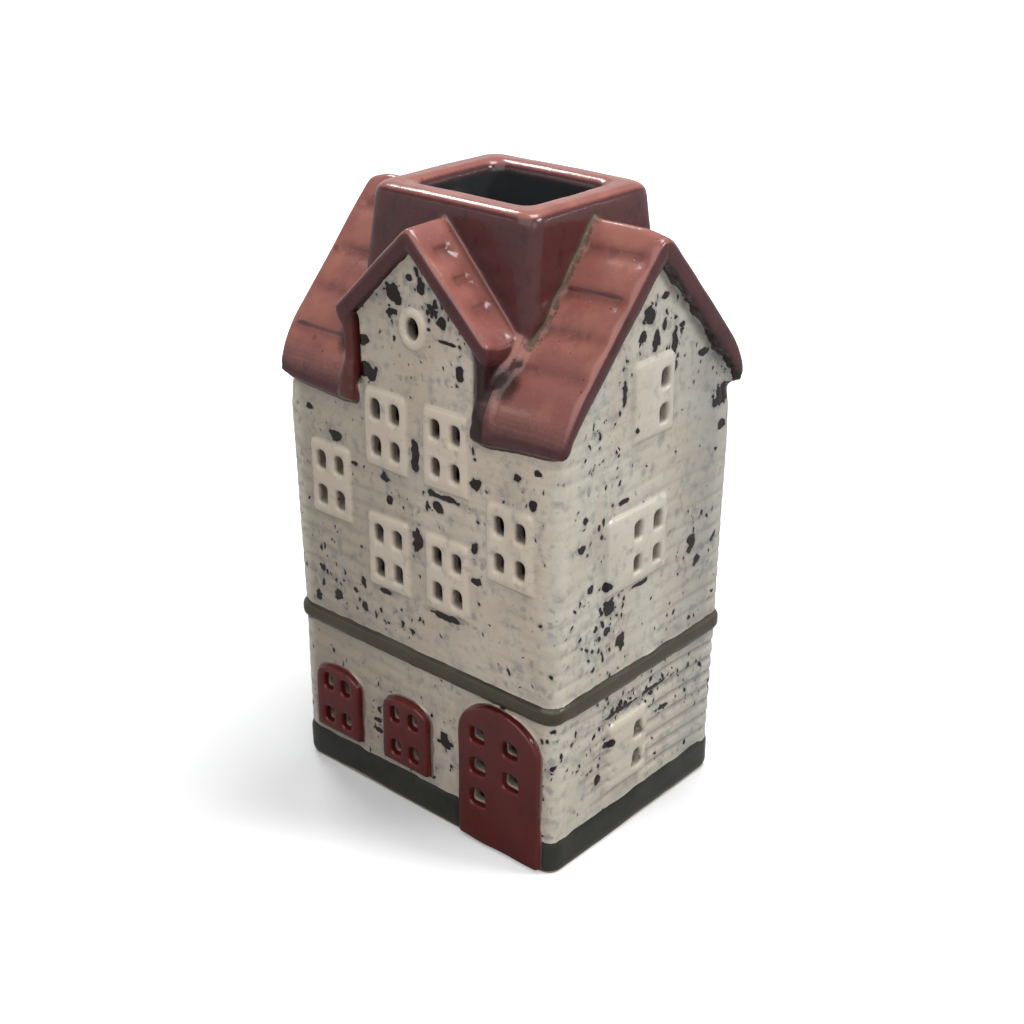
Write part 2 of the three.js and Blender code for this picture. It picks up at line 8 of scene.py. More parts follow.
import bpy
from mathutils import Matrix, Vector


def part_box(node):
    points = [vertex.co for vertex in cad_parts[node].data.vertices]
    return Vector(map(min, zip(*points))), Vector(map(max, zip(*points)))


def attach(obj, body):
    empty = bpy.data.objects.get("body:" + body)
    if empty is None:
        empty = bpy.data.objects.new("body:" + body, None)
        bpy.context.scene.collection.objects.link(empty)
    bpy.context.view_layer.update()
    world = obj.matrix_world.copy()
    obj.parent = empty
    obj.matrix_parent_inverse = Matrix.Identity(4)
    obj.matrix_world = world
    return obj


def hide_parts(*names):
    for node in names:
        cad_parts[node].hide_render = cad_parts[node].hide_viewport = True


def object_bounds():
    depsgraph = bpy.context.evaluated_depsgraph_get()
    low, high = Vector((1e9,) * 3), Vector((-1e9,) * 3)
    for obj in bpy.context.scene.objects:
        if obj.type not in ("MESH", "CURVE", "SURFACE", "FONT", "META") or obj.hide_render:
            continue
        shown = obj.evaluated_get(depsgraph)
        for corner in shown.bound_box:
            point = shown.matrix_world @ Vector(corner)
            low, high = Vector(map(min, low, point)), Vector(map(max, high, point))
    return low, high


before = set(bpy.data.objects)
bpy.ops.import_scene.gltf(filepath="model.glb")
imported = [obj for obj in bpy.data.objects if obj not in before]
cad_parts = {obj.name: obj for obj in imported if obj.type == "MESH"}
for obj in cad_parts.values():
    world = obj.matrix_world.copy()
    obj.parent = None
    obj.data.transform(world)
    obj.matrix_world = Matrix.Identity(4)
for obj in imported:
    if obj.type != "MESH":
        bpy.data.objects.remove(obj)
CAD_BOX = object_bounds()
print(len(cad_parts), "nodes, box", [list(corner) for corner in CAD_BOX])

# %% Tools used all the way through
import math

import bpy
import numpy as np
import openvdb
from mathutils import Matrix, Vector

MM = 0.001
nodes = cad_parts
low_mm = np.array(CAD_BOX[0]) / MM
high_mm = np.array(CAD_BOX[1]) / MM
print("size in mm", np.round(high_mm - low_mm, 2))

# %% [markdown]
# ## The camera
#
# A photograph's camera can be placed by eye, or worked out from corners whose real places are known.
# Here it was worked out: it stands to the right of the front, 25 degrees up, about 40 cm away.

# %% Camera
AZIMUTH = math.radians(40.956)
ELEVATION = math.radians(24.958)
ROLL = math.radians(0.206)
DISTANCE = 398.935
TARGET = Vector((-7.453, 9.318, 63.59))

back = Vector((
    math.sin(AZIMUTH) * math.cos(ELEVATION),
    -math.cos(AZIMUTH) * math.cos(ELEVATION),
    math.sin(ELEVATION),
))
right = Vector((math.cos(AZIMUTH), math.sin(AZIMUTH), 0))
up = back.cross(right)
rolled_right = right * math.cos(ROLL) + up * math.sin(ROLL)
rolled_up = up * math.cos(ROLL) - right * math.sin(ROLL)
camera = bpy.data.objects.new("camera", bpy.data.cameras.new("camera"))
bpy.context.collection.objects.link(camera)
turn = Matrix((rolled_right, rolled_up, back)).transposed().to_4x4()
camera.matrix_world = Matrix.Translation((TARGET + back * DISTANCE) * MM) @ turn
camera.data.sensor_width = 36
camera.data.lens = 56.82
camera.data.clip_start = 0.01
bpy.context.scene.camera = camera
print("camera at", [round(v, 4) for v in camera.location])

# %% [markdown]
# ## Shader wiring
#
# Materials could be clicked together in the node editor, but code can be read and changed. One short
# helper places a node, sets it and joins its inputs. The others give the result of a sum, of a soft
# step, of a blend and of a noise, which most of the finishes need.


# %% Helpers for shader nodes
def put(tree, kind, inputs=None, **settings):
    """Places a node. Each input takes either another node's socket or a plain value."""
    node = tree.nodes.new(kind)
    for name, value in settings.items():
        setattr(node, name, value)
    for name, value in (inputs or {}).items():
        if isinstance(value, bpy.types.NodeSocket):
            tree.links.new(value, node.inputs[name])
        else:
            node.inputs[name].default_value = value
    return node


def sums(tree, operation, a, b=0.5, clamp=False):
    return put(tree, "ShaderNodeMath", {0: a, 1: b}, operation=operation, use_clamp=clamp).outputs[0]


def plus(tree, a, b):
    return sums(tree, "ADD", a, b)


def minus(tree, a, b):
    return sums(tree, "SUBTRACT", a, b)


def times(tree, a, b):
    return sums(tree, "MULTIPLY", a, b)


def larger(tree, a, b):
    return sums(tree, "MAXIMUM", a, b)


def size_of(tree, a):
    return sums(tree, "ABSOLUTE", a)


print("one node placer and five sums ready")


# %% Helpers for soft steps, blends, places and noises
def step(tree, value, start, end, low=0.0, high=1.0):
    """Low up to the start, high past the end, and a smooth curve between them."""
    inputs = {"Value": value, "From Min": start, "From Max": end, "To Min": low, "To Max": high}
    return put(tree, "ShaderNodeMapRange", inputs, interpolation_type="SMOOTHSTEP").outputs[0]


def blend(tree, amount, first, second):
    """The first colour where the amount is 0, the second where it is 1."""
    return put(tree, "ShaderNodeMix", {0: amount, 6: first, 7: second}, data_type="RGBA").outputs[2]


def noise(tree, place, scale, detail=2.0, roughness=0.5):
    inputs = {"Vector": place, "Scale": scale, "Detail": detail, "Roughness": roughness}
    return put(tree, "ShaderNodeTexNoise", inputs).outputs["Fac"]


def cells(tree, place, scale):
    """One dot in every cell: the distance to the nearest dot, and a random colour for it."""
    inputs = {"Vector": place, "Scale": scale, "Randomness": 1.0}
    dots = put(tree, "ShaderNodeTexVoronoi", inputs).outputs
    chances = put(tree, "ShaderNodeSeparateColor", {0: dots["Color"]}).outputs
    return dots["Distance"], chances


def scaled(tree, vector, factors):
    return put(tree, "ShaderNodeVectorMath", {0: vector, 1: factors}, operation="MULTIPLY").outputs[0]


def moved(tree, vector, other):
    return put(tree, "ShaderNodeVectorMath", {0: vector, 1: other}, operation="ADD").outputs[0]


def length_of(tree, vector):
    return put(tree, "ShaderNodeVectorMath", {0: vector}, operation="LENGTH").outputs["Value"]


def split_up(tree, vector):
    return put(tree, "ShaderNodeSeparateXYZ", {0: vector}).outputs


def paint(red, green, blue):
    """A colour as a paint chart gives it, 0 to 255, as the linear value a shader takes."""
    chart = [value / 255 for value in (red, green, blue)]
    return [v / 12.92 if v <= 0.04045 else ((v + 0.055) / 1.055) ** 2.4 for v in chart] + [1.0]


print("mid grey on the chart is", round(paint(188, 188, 188)[0], 3), "to a shader")

# %% [markdown]
# ## Floor
#
# A plain sheet of white paper lies under the house and curves up far behind it. It could be a flat
# plane, but then low views would show an edge.

# %% Paper sheet
FLAT_RADIUS = 2.0
BEND = 1.3
BEND_STEPS = 12
SIDES = 64
rings = [(0.0, 0.0), (FLAT_RADIUS, 0.0)]
for number in range(1, BEND_STEPS + 1):
    angle = number / BEND_STEPS * math.pi / 2
    rings.append((FLAT_RADIUS + BEND * math.sin(angle), BEND * (1 - math.cos(angle))))
vertices = [(0.0, 0.0, 0.0)]
for radius, height in rings[1:]:
    for side in range(SIDES):
        turn_by = side / SIDES * math.tau
        vertices.append((radius * math.cos(turn_by), radius * math.sin(turn_by), height))
faces = [(0, 1 + side, 1 + (side + 1) % SIDES) for side in range(SIDES)]
for ring in range(len(rings) - 2):
    for side in range(SIDES):
        a = 1 + ring * SIDES + side
        b = 1 + ring * SIDES + (side + 1) % SIDES
        faces.append((a, a + SIDES, b + SIDES, b))
paper_mesh = bpy.data.meshes.new("paper")
paper_mesh.from_pydata(vertices, [], faces)
paper_mesh.shade_smooth()
paper = bpy.data.objects.new("paper", paper_mesh)
bpy.context.collection.objects.link(paper)
print("paper reaches", FLAT_RADIUS + BEND, "m out and", BEND, "m up")

# %% [markdown]
# White paper under weak lamps would come out grey. Stronger lamps would spoil the glazes, so the
# paper itself is told apart by the kind of ray that meets it. The camera sees a paler paper with a
# glow that grows away from the house, so that it comes out white and keeps the soft shadow. In
# reflections only the far paper glows. For all other light it is a quiet grey.

# %% Paper colours, and its glow as start, end and lowest and highest strength, in metres
QUIET_GREY = (0.3, 0.3, 0.3, 1)
PALE_GREY = (0.83, 0.83, 0.83, 1)
NEAR_GLOW = (0.045, 0.1, 0.0, 0.06)
WIDE_GLOW = (0.1, 0.42, 0.0, 0.66)
FRONT_RIGHT_GLOW = (0.025, 0.07, 0.0, 0.3)
MIRRORED_GLOW = (0.5, 1.5, 0.0, 0.6)

white_paper = bpy.data.materials.new("white_paper")
white_paper.use_nodes = True
tree = white_paper.node_tree
tree.nodes.clear()
ray = put(tree, "ShaderNodeLightPath").outputs
spot = put(tree, "ShaderNodeTexCoord").outputs["Object"]
far = length_of(tree, scaled(tree, spot, (1, 1, 0)))
x_and_y = split_up(tree, spot)
to_front_right = minus(tree, x_and_y[0], x_and_y[1])
glow = plus(tree, step(tree, far, *NEAR_GLOW), step(tree, far, *WIDE_GLOW))
glow = plus(tree, glow, step(tree, to_front_right, *FRONT_RIGHT_GLOW))
print("the glow grows out to", WIDE_GLOW[1], "m")


# %% Paper material
def glowing(tree, surface, strength):
    light = put(tree, "ShaderNodeEmission", {"Strength": strength}).outputs[0]
    return put(tree, "ShaderNodeAddShader", {0: surface, 1: light}).outputs[0]


quiet = put(tree, "ShaderNodeBsdfDiffuse", {"Color": QUIET_GREY}).outputs[0]
pale = put(tree, "ShaderNodeBsdfDiffuse", {"Color": PALE_GREY}).outputs[0]
seen = glowing(tree, pale, glow)
mirrored = glowing(tree, quiet, step(tree, far, *MIRRORED_GLOW))
both = put(tree, "ShaderNodeMixShader", {0: ray["Is Glossy Ray"], 1: quiet, 2: mirrored}).outputs[0]
both = put(tree, "ShaderNodeMixShader", {0: ray["Is Camera Ray"], 1: both, 2: seen}).outputs[0]
put(tree, "ShaderNodeOutputMaterial", {"Surface": both})
paper_mesh.materials.append(white_paper)
print(len(tree.nodes), "nodes in", white_paper.name)

# %% [markdown]
# ## Light
#
# The light is a soft grey room, five softboxes and two small lamps. Glaze shows each lamp as a
# highlight, so where they hang matters more than how strong they are. The broad box over the front
# keeps the walls and slopes even, the ones above and high on the right draw the bright lines along
# the chimney rim and the ridge, and the two small lamps only put glints on rounded corners.

# %% Room light
ROOM_COLOUR = (0.95, 0.975, 1.0, 1)
ROOM_STRENGTH = 0.34
world = bpy.data.worlds.new("room")
world.use_nodes = True
room = world.node_tree.nodes["Background"]
room.inputs["Color"].default_value = ROOM_COLOUR
room.inputs["Strength"].default_value = ROOM_STRENGTH
bpy.context.scene.world = world
bpy.context.scene.view_settings.view_transform = "Standard"
print("room light at", ROOM_STRENGTH)

# %% Lamps: place in mm, width and height in mm, power in watts
LAMPS = {
    "softbox_over_front": ((190, -640, 760), 1300, 1000, 6.2),
    "softbox_above": ((90, 270, 930), 380, 380, 4.6),
    "softbox_high_right": ((651, 326, 652), 280, 280, 3.5),
    "softbox_right": ((760, -180, 420), 400, 420, 0.8),
    "softbox_left": ((-500, 190, 690), 260, 110, 2.4),
    "glint_front": ((-415, -495, 342), 24, 24, 0.03),
    "glint_side": ((464, 480, 287), 24, 24, 0.04),
}
AIM = Vector((0, 0, 75))
for name, (place_mm, width_mm, height_mm, power) in LAMPS.items():
    lamp = bpy.data.lights.new(name, "AREA")
    lamp.shape = "RECTANGLE"
    lamp.size = width_mm * MM
    lamp.size_y = height_mm * MM
    lamp.energy = power
    holder = bpy.data.objects.new(name, lamp)
    holder.location = Vector(place_mm) * MM
    holder.visible_camera = False
    holder.rotation_mode = "QUATERNION"
    holder.rotation_quaternion = (Vector(place_mm) - AIM).to_track_quat("Z", "Y")
    bpy.context.collection.objects.link(holder)
print(len(LAMPS), "lamps")

# %% [markdown]
# ## Clay in a grid
#
# A slip casting has no crisp edge anywhere: the plaster mould rounds it, and the glaze rounds it again.
# Bevels could round each block, but not the places where blocks meet. Instead each solid is turned
# into a grid of distances to its surface. Distances can be blurred, joined softly and dented like wet
# clay, and a mesh can be drawn wherever they are zero.

# %% A grid round the house
CELL = 0.4
MARGIN = 2.4
BAND = 7
FAR = BAND * CELL
origin = low_mm - MARGIN
SHAPE = tuple(int(math.ceil((high_mm[k] - low_mm[k] + 2 * MARGIN) / CELL)) + 1 for k in range(3))
along = [origin[k] + CELL * np.arange(SHAPE[k], dtype=np.float32) for k in range(3)]
X = along[0][:, None, None]
Y = along[1][None, :, None]
Z = along[2][None, None, :]
print("grid", SHAPE, "=", round(math.prod(SHAPE) / 1e6, 1), "million cells")


# %% Distances to one solid
def distances(name):
    """The slice of the grid round a node, and the distance to its surface there, minus inside."""
    mesh = nodes[name].data
    points = np.empty(len(mesh.vertices) * 3, np.float32)
    mesh.vertices.foreach_get("co", points)
    points = (points.reshape(-1, 3) / MM - origin) / CELL
    mesh.calc_loop_triangles()
    corners = np.empty(len(mesh.loop_triangles) * 3, np.int32)
    mesh.loop_triangles.foreach_get("vertices", corners)
    triangles = corners.reshape(-1, 3).astype(np.uint32)
    solid = openvdb.FloatGrid.createLevelSetFromPolygons(
        points.astype(np.float32), triangles=triangles, halfWidth=BAND)
    start = np.maximum(np.floor(points.min(0)).astype(int) - BAND, 0)
    stop = np.minimum(np.ceil(points.max(0)).astype(int) + BAND + 1, SHAPE)
    values = np.full(tuple(stop - start), float(BAND), np.float32)
    solid.copyToArray(values, ijk=tuple(int(v) for v in start))
    where = tuple(slice(int(a), int(b)) for a, b in zip(start, stop))
    return where, values * CELL


print("distances reach", round(FAR, 2), "mm out from each solid")

# %% [markdown]
# Wet clay also needs lumps. A few random numbers far apart, joined by smooth curves, give a soft
# unevenness of any size that is the same on every run.


# %% Lumps
def lumps(size, seed, stretch=(1, 1, 1)):
    """Soft unevenness between about -1 and 1, with lumps of the given size in mm."""
    sizes = [size * s for s in stretch]
    counts = [int(SHAPE[k] * CELL / sizes[k]) + 5 for k in range(3)]
    field = np.random.default_rng(seed).uniform(-1.6, 1.6, counts).astype(np.float32)
    for axis in range(3):
        at = np.arange(SHAPE[axis]) * CELL / sizes[axis]
        base = at.astype(int)
        t = (at - base).astype(np.float32)
        weights = (
            (1 - t) ** 3 / 6,
            (3 * t**3 - 6 * t**2 + 4) / 6,
            (-3 * t**3 + 3 * t**2 + 3 * t + 1) / 6,
            t**3 / 6,
        )
        fit = [1, 1, 1]
        fit[axis] = -1
        field = sum(np.take(field, base + k, axis) * weights[k].reshape(fit) for k in range(4))
    return field


print("lumps of 20 mm reach up to", round(float(lumps(20, seed=1).max()), 2))


# %% Blur
def blurred(field, sigma):
    """The field with everything smaller than about sigma mm rounded off."""
    reach = max(1, int(round(2.4 * sigma / CELL)))
    offsets = np.arange(-reach, reach + 1)
    weights = np.exp(-0.5 * (offsets * CELL / sigma) ** 2)
    weights = (weights / weights.sum()).astype(np.float32)
    for axis in range(3):
        padding = [(0, 0)] * 3
        padding[axis] = (reach, reach)
        padded = np.pad(field, padding, mode="edge")
        total = np.zeros_like(field)
        for k, weight in enumerate(weights):
            window = [slice(None)] * 3
            window[axis] = slice(k, k + field.shape[axis])
            total += padded[tuple(window)] * weight
        field = total
    return field


print("the finest blur in use, 0.38 mm, is about one cell of", CELL, "mm")


# %% Joins, rounded edges and fades
def soft_union(a, b, width):
    """Two fields joined, with a fillet in the corner between them, except where both are far off."""
    mixed = np.maximum(width - np.abs(a - b), 0) * np.clip(FAR - np.maximum(a, b), 0, 1)
    return np.minimum(a, b) - mixed * mixed / (4 * width)


def rounded_corner(a, b, width):
    """Two fields cut to where both are inside, with a rounded edge between them."""
    mixed = np.maximum(width - np.abs(a - b), 0)
    return np.maximum(a, b) + mixed * mixed / (4 * width)


def bump(value, middle, width):
    return np.exp(-(((value - middle) / width) ** 2)).astype(np.float32)


def fade_in(value, start, over):
    """0 up to the start, then rising to 1 over the given length."""
    return np.clip((value - start) / over, 0, 1)


def fade_out(value, end, over):
    """1, then falling to 0 at the end over the given length."""
    return np.clip((end - value) / over, 0, 1)


print("halfway up a fade:", fade_in(5, 4, 2), fade_out(5, 6, 2))

# %% [markdown]
# ## Which piece is nearest
#
# The house stays in its named pieces: each one takes the part of the soft form that lies nearest to
# its own solid. A little noise in that race makes the painted borders waver as a brush does.

# %% Groups of nodes
ENDS = ("left", "right")
WALLS = ["floor_slab", "front_wall", "back_wall", "left_gable_wall", "right_gable_wall"]
FRONT_WINDOWS = [f"{row}_window_{end}" for row in ("upper", "lower", "side") for end in ENDS]
GABLE_WINDOWS = [f"{end}_gable_{row}_window" for end in ENDS for row in ("attic", "middle", "ground")]
RED_PIECES = ["arched_window_left", "arched_window_middle", "front_door"]
BANDS = ["plinth_band", "string_course"]
TRIM = FRONT_WINDOWS + GABLE_WINDOWS + RED_PIECES + BANDS + ["oculus_ring"]
FRONT_SLOPES = ["roof_front_left", "roof_front_right"]
SLOPES = FRONT_SLOPES + ["roof_back", "cross_roof_left", "cross_roof_right"]
MAIN_BOARDS = [f"{end}_bargeboard_{side}" for end in ENDS for side in ("front", "back")]
BOARDS = MAIN_BOARDS + ["cross_bargeboard_left", "cross_bargeboard_right"]
CHEEKS = ["cross_cheek_left", "cross_cheek_right"]
ROOF = SLOPES + BOARDS + CHEEKS + ["chimney"]
ORDER = WALLS + TRIM + ROOF
print("every node is in a group:", sorted(ORDER) == sorted(nodes))

# %% [markdown]
# ## The roof's own measures
#
# The roof hangs out over the walls, and on the real house melted glaze has made its sharp edges round.
# Rounding the solids would move the tiles too, so the roof is also described by formulas: how deep a
# place lies under each slope, and where the ridge, the verges and the eaves end. All sizes are in mm.

# %% Slopes of the main roof and of the cross gable
HALF_W = 40.0
HALF_D = 31.35
VERGE_X = 42.9
EAVE_Y = 33.5
RIM_OVER_RIDGE = 3.4
RIDGE = float(high_mm[2]) - RIM_OVER_RIDGE
MAIN_PITCH = math.radians(47.1)
CROSS_PITCH = math.radians(44)
MAIN_SLOPE = math.tan(MAIN_PITCH)
under_main = (RIDGE - np.abs(Y) * MAIN_SLOPE - Z) * math.cos(MAIN_PITCH)
under_cross = (RIDGE - np.abs(X) * math.tan(CROSS_PITCH) - Z) * math.cos(CROSS_PITCH)
print("ridge at", round(RIDGE, 1), "mm")

# %% [markdown]
# Under the verges hang boards. Their solids reach down further than the painted edge does, so a
# wavering line is laid at a fixed depth under the slope. Above it a board is board, below it wall.

# %% Where the roof glaze ends on the boards, with spikes where it ran
BOARD_DEPTH = 5.0
CROSS_BOARD_DEPTH = 4.5
CROSS_BOARD_END = 16.6
spikes = lumps(1.2, seed=14, stretch=(1, 1.3, 0.8)) + 0.5 * lumps(4.5, seed=15)
spike_height = np.where(Y > 3, 0.8, 0.3)
glaze_line = (BOARD_DEPTH + spike_height * spikes).astype(np.float32)
past_cross_board = 24 * fade_in(np.abs(X), CROSS_BOARD_END, 0.8)
cross_line = (CROSS_BOARD_DEPTH + 0.3 * spikes + past_cross_board).astype(np.float32)
print("glaze ends", round(float(glaze_line.min()), 1), "to", round(float(glaze_line.max()), 1), "mm down")

# %% [markdown]
# The solids of the main roof have square edges. Each pair of its faces is cut again with a rounded
# corner: the eaves over 8 mm, because glaze ran down and curled under there, and the ridge's two ends
# a little. Beveling three meshes by the same amounts would leave gaps between them.

# %% The main roof with its edges rounded: more at the eaves, and at the ridge's two ends
ROUND_EAVE = 8.0
ROUND_VERGE = 0.8
ROUND_RIDGE = 0.8
MORE_AT_RIDGE_ENDS = 4.2
front_slope = (Z - RIDGE - Y * MAIN_SLOPE) * math.cos(MAIN_PITCH)
back_slope = (Z - RIDGE + Y * MAIN_SLOPE) * math.cos(MAIN_PITCH)
ridge_width = ROUND_RIDGE + MORE_AT_RIDGE_ENDS * fade_in(np.abs(X), 37, 5)
curled = rounded_corner(front_slope, back_slope, ridge_width)
curled = rounded_corner(curled, np.abs(Y) - EAVE_Y, ROUND_EAVE)
curled = rounded_corner(curled, np.abs(X) - VERGE_X, ROUND_VERGE)
print("eaves are rounded over", ROUND_EAVE, "mm")

# %% [markdown]
# Along the front eave the glaze hangs in a soft roll, lower in some places than in others. Its foot
# is a line of heights that were read off the real house, from the verge inward, left and right.

# %% The roll that hangs from the front eave
ROLL_FOOT = 103.6
ROLL_TOP = 108
ROLL_TOP_AT_CHEEK = 104.4
ROLL_BACK_Y = -29.8
ROLL_INNER_X = 17.5
ROUND_ROLL_FOOT = 3.4
ROUND_ROLL_END = 1.6
left_drop = np.interp(X, (-VERGE_X, -38.5, -22, -18), (0, 1.6, 2.7, 2.3))
right_drop = np.interp(X, (18, 22, 30, 38.5, VERGE_X), (2.1, 2.3, 1.2, 0.5, 0))
under_eave = ROLL_FOOT - np.where(X < 0, left_drop, right_drop) - Z
roll_top = np.where(np.abs(X) < 21, ROLL_TOP_AT_CHEEK, ROLL_TOP)
eave_roll = rounded_corner(curled, under_eave, ROUND_ROLL_FOOT)
eave_roll = np.maximum(np.maximum(eave_roll, Z - roll_top), Y - ROLL_BACK_Y)
eave_roll = rounded_corner(eave_roll, ROLL_INNER_X - np.abs(X), ROUND_ROLL_END).astype(np.float32)
in_roll = fade_out(eave_roll, 0.45, 0.4) * fade_out(Z, 104.8, 0.6)
print("the roll hangs", round(float(left_drop.max()), 1), "mm lower at most")

# %% [markdown]
# ## The race
#
# Each solid is measured once. Its distances go into the soft form of its group, and into the race
# that gives every place to one node. Windows, doors and bands are first rounded off like a pillow.

# %% How far a brush strays at each border, and how much each piece swells
BRUSH_ON_BANDS = (0.4, -0.4, 0.2)
BRUSH_ON_RED = (0.8, -0.7, 0.7)
BRUSH_ON_ROOF = (0.6, -0.7, 0.7)
brush = 0.7 * lumps(2.6, seed=11) + 0.4 * lumps(1.3, seed=12)
broad_brush = lumps(5.5, seed=13)
WOBBLE = {name: BRUSH_ON_BANDS for name in BANDS}
WOBBLE.update({name: BRUSH_ON_RED for name in RED_PIECES})
WOBBLE.update({name: BRUSH_ON_ROOF for name in BOARDS + CHEEKS + FRONT_SLOPES})
SWAY = {name: 0.1 for name in BANDS + FRONT_WINDOWS + GABLE_WINDOWS + BOARDS + CHEEKS}
SWAY.update({name: 0.3 for name in RED_PIECES})
print(len(WOBBLE), "pieces with brushed borders,", len(SWAY), "that swell")


# %% [markdown]
# Windows, door and bands are thin slabs laid on the wall, with the panes cut through. A bevel would
# round only their rim. Here their whole face falls off towards the border, like a pillow's, and the
# borders themselves stray a little from straight.

# %% Pillows
PILLOW_POWER = {"string_course": 4, "plinth_band": 8}
FRAME_POWER = 9
PILLOW_HEIGHT = 0.5


def pillow(name):
    """Lowers a thin raised piece towards its border, as melted glaze does."""
    low, high = [np.array(corner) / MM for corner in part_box(name)]
    middle = (low + high) / 2
    half = (high - low) / 2
    spread = np.abs((Z - middle[2]) / half[2])
    if name not in BANDS:
        across = (X - middle[0]) / half[0] if half[1] < half[0] else (Y - middle[1]) / half[1]
        spread = np.maximum(np.abs(across), spread)
    return PILLOW_HEIGHT * np.minimum(spread, 1.1) ** PILLOW_POWER.get(name, FRAME_POWER)


def group_of(name):
    """The group of forms that a node is joined with."""
    if name == "chimney":
        return "chimney"
    if name.startswith("cross_"):
        return "cross_roof"
    for label, names in (("walls", WALLS), ("bands", BANDS), ("trim", TRIM)):
        if name in names:
            return label
    return "main_roof"


print({name: group_of(name) for name in ("front_door", "plinth_band", "roof_back")})

# %% [markdown]
# A board stops being its own piece below its glaze line, so from there on it counts as further away
# by LOST mm. In the roll under the front eave, the slope or the cheek counts as nearer, by ROLL_WINS.

# %% Run the race
BOARD_FOOT = 103.2
LOST = 3.6
ROLL_WINS = 6
GROUPS = ("walls", "bands", "trim", "main_roof", "cross_roof", "chimney")
union = {label: np.full(SHAPE, FAR, np.float32) for label in GROUPS}
reach_of = {}
nearest = np.full(SHAPE, 3 * FAR, np.float32)
second = nearest.copy()
owner = np.full(SHAPE, -1, np.int8)
past_board = np.maximum(under_main - glaze_line, BOARD_FOOT - Z)
for number, name in enumerate(ORDER):
    where, own = distances(name)
    form_here = own + SWAY.get(name, 0.0) * broad_brush[where]
    amount, lowest, highest = WOBBLE.get(name, (0.0, 0.0, 0.0))
    raced = own + np.clip(amount * brush[where], lowest, highest)
    if name in TRIM and name != "oculus_ring":
        form_here = form_here + np.broadcast_to(pillow(name), SHAPE)[where]
    if name in MAIN_BOARDS:
        form_here = np.maximum(form_here, np.broadcast_to(past_board, SHAPE)[where])
        raced = raced + LOST * fade_in(under_main - glaze_line, 0, 0.25)[where]
    if name.startswith("cross_"):
        form_here = np.maximum(form_here, (under_cross - cross_line)[where])
        raced = raced + LOST * fade_in(under_cross - cross_line, 0, 0.25)[where]
    if name in CHEEKS + FRONT_SLOPES:
        raced = raced - ROLL_WINS * in_roll[where]
    group_form = union[group_of(name)]
    np.minimum(group_form[where], form_here, out=group_form[where])
    reach_of[name] = (where, own, raced)
    closer = raced < nearest[where]
    second[where] = np.where(closer, nearest[where], np.minimum(second[where], raced))
    owner[where] = np.where(closer, number, owner[where])
    nearest[where] = np.where(closer, raced, nearest[where])
union["main_roof"] = np.minimum(np.maximum(union["main_roof"], curled), eave_roll)
print("cells won by each node, at least", np.bincount(owner[owner >= 0].ravel()).min())

# %% [markdown]
# ## Walls
#
# The walls get shallow clapboard courses, stronger on the ground floor of the gables, as on the real
# house. A bump texture could draw them, but in the clay itself they also show in the outline and in
# the mesh. Lumps of two sizes warp each course and make it fade in places.

# %% How much each form is blurred before it is joined, in mm
BLUR = {"walls": 0.42, "trim": 0.38, "main_roof": 0.6, "cross_roof": 0.7, "low_ends": 1.2, "chimney": 0.5}
print("softest form:", max(BLUR, key=BLUR.get))

# %% Courses on the walls
COURSE_PITCH = 4.05
COURSE_TOP = 112
GROUND_TOP = 41
BAND_MIDDLE = 42.05
BAND_HALF = 2.6
PLINTH_TOP = 9.4
GABLE_SKIN_X = 38.6
FRONT_SKIN_Y = 29.9
GABLE_COURSE = 0.24
MORE_ON_GROUND = 0.28
FRONT_COURSE = 0.2
warp = lumps(14, seed=21)
course = np.cos((Z + 1.1 * warp) * (math.tau / COURSE_PITCH)) * 0.5 + 0.5
course = course**3
patchy = np.clip(0.55 + 0.9 * lumps(16, seed=22), 0, 1.2)
on_gable = fade_in(np.abs(X), GABLE_SKIN_X, 0.8)
on_front = fade_in(np.abs(Y), FRONT_SKIN_Y, 0.8)
ground = fade_out(Z, GROUND_TOP, 2)
on_gable = on_gable * (GABLE_COURSE + MORE_ON_GROUND * ground)
strength = np.maximum(on_gable, on_front * FRONT_COURSE) * patchy
strength = strength * fade_out(Z, COURSE_TOP, 8)
off_bands = fade_in(np.abs(Z - BAND_MIDDLE), BAND_HALF, 1.2) * fade_in(Z, PLINTH_TOP, 1.2)
walls = blurred(np.minimum(union["walls"], union["bands"]), BLUR["walls"])
walls = walls + strength * off_bands * course
print("course grooves up to", round(float(strength.max()), 2), "mm")

# %% [markdown]
# ## Roof
#
# The slopes swell between the grooves of their tile courses. Each groove is a soft dent at a height
# of its own, read off the real house, and none of them is quite level or equally deep all along.

# %% Tile grooves
RIGHT_GROOVES = (139.2, 131.4, 124.6, 117.8)
LEFT_GROOVES = (137.8, 129.0, 121.7, 113.9)
CROSS_GROOVES = (140.0, 134.6, 129.2, 123.8)
GROOVE_WIDTH = 1.45
GROOVE_DEPTH = 0.9
CROSS_GROOVE_SHARE = 1.2
CROSS_ROOF_X = 23.2
CROSS_ROOF_Y = -20.5
sway = lumps(11, seed=31)
depth_change = np.clip(0.75 + 0.6 * lumps(9, seed=32), 0.2, 1.3)


def grooves(heights):
    height = Z + 0.8 * sway
    return sum(bump(height, groove, GROOVE_WIDTH) for groove in heights)


in_cross = (np.abs(X) < CROSS_ROOF_X) & (Y < CROSS_ROOF_Y)
left_front = (X < 0) & (Y < 0)
tiles = np.where(left_front, grooves(LEFT_GROOVES), grooves(RIGHT_GROOVES))
tiles = np.where(in_cross, CROSS_GROOVE_SHARE * grooves(CROSS_GROOVES), tiles)
print("tile grooves at", RIGHT_GROOVES, "mm on the right")

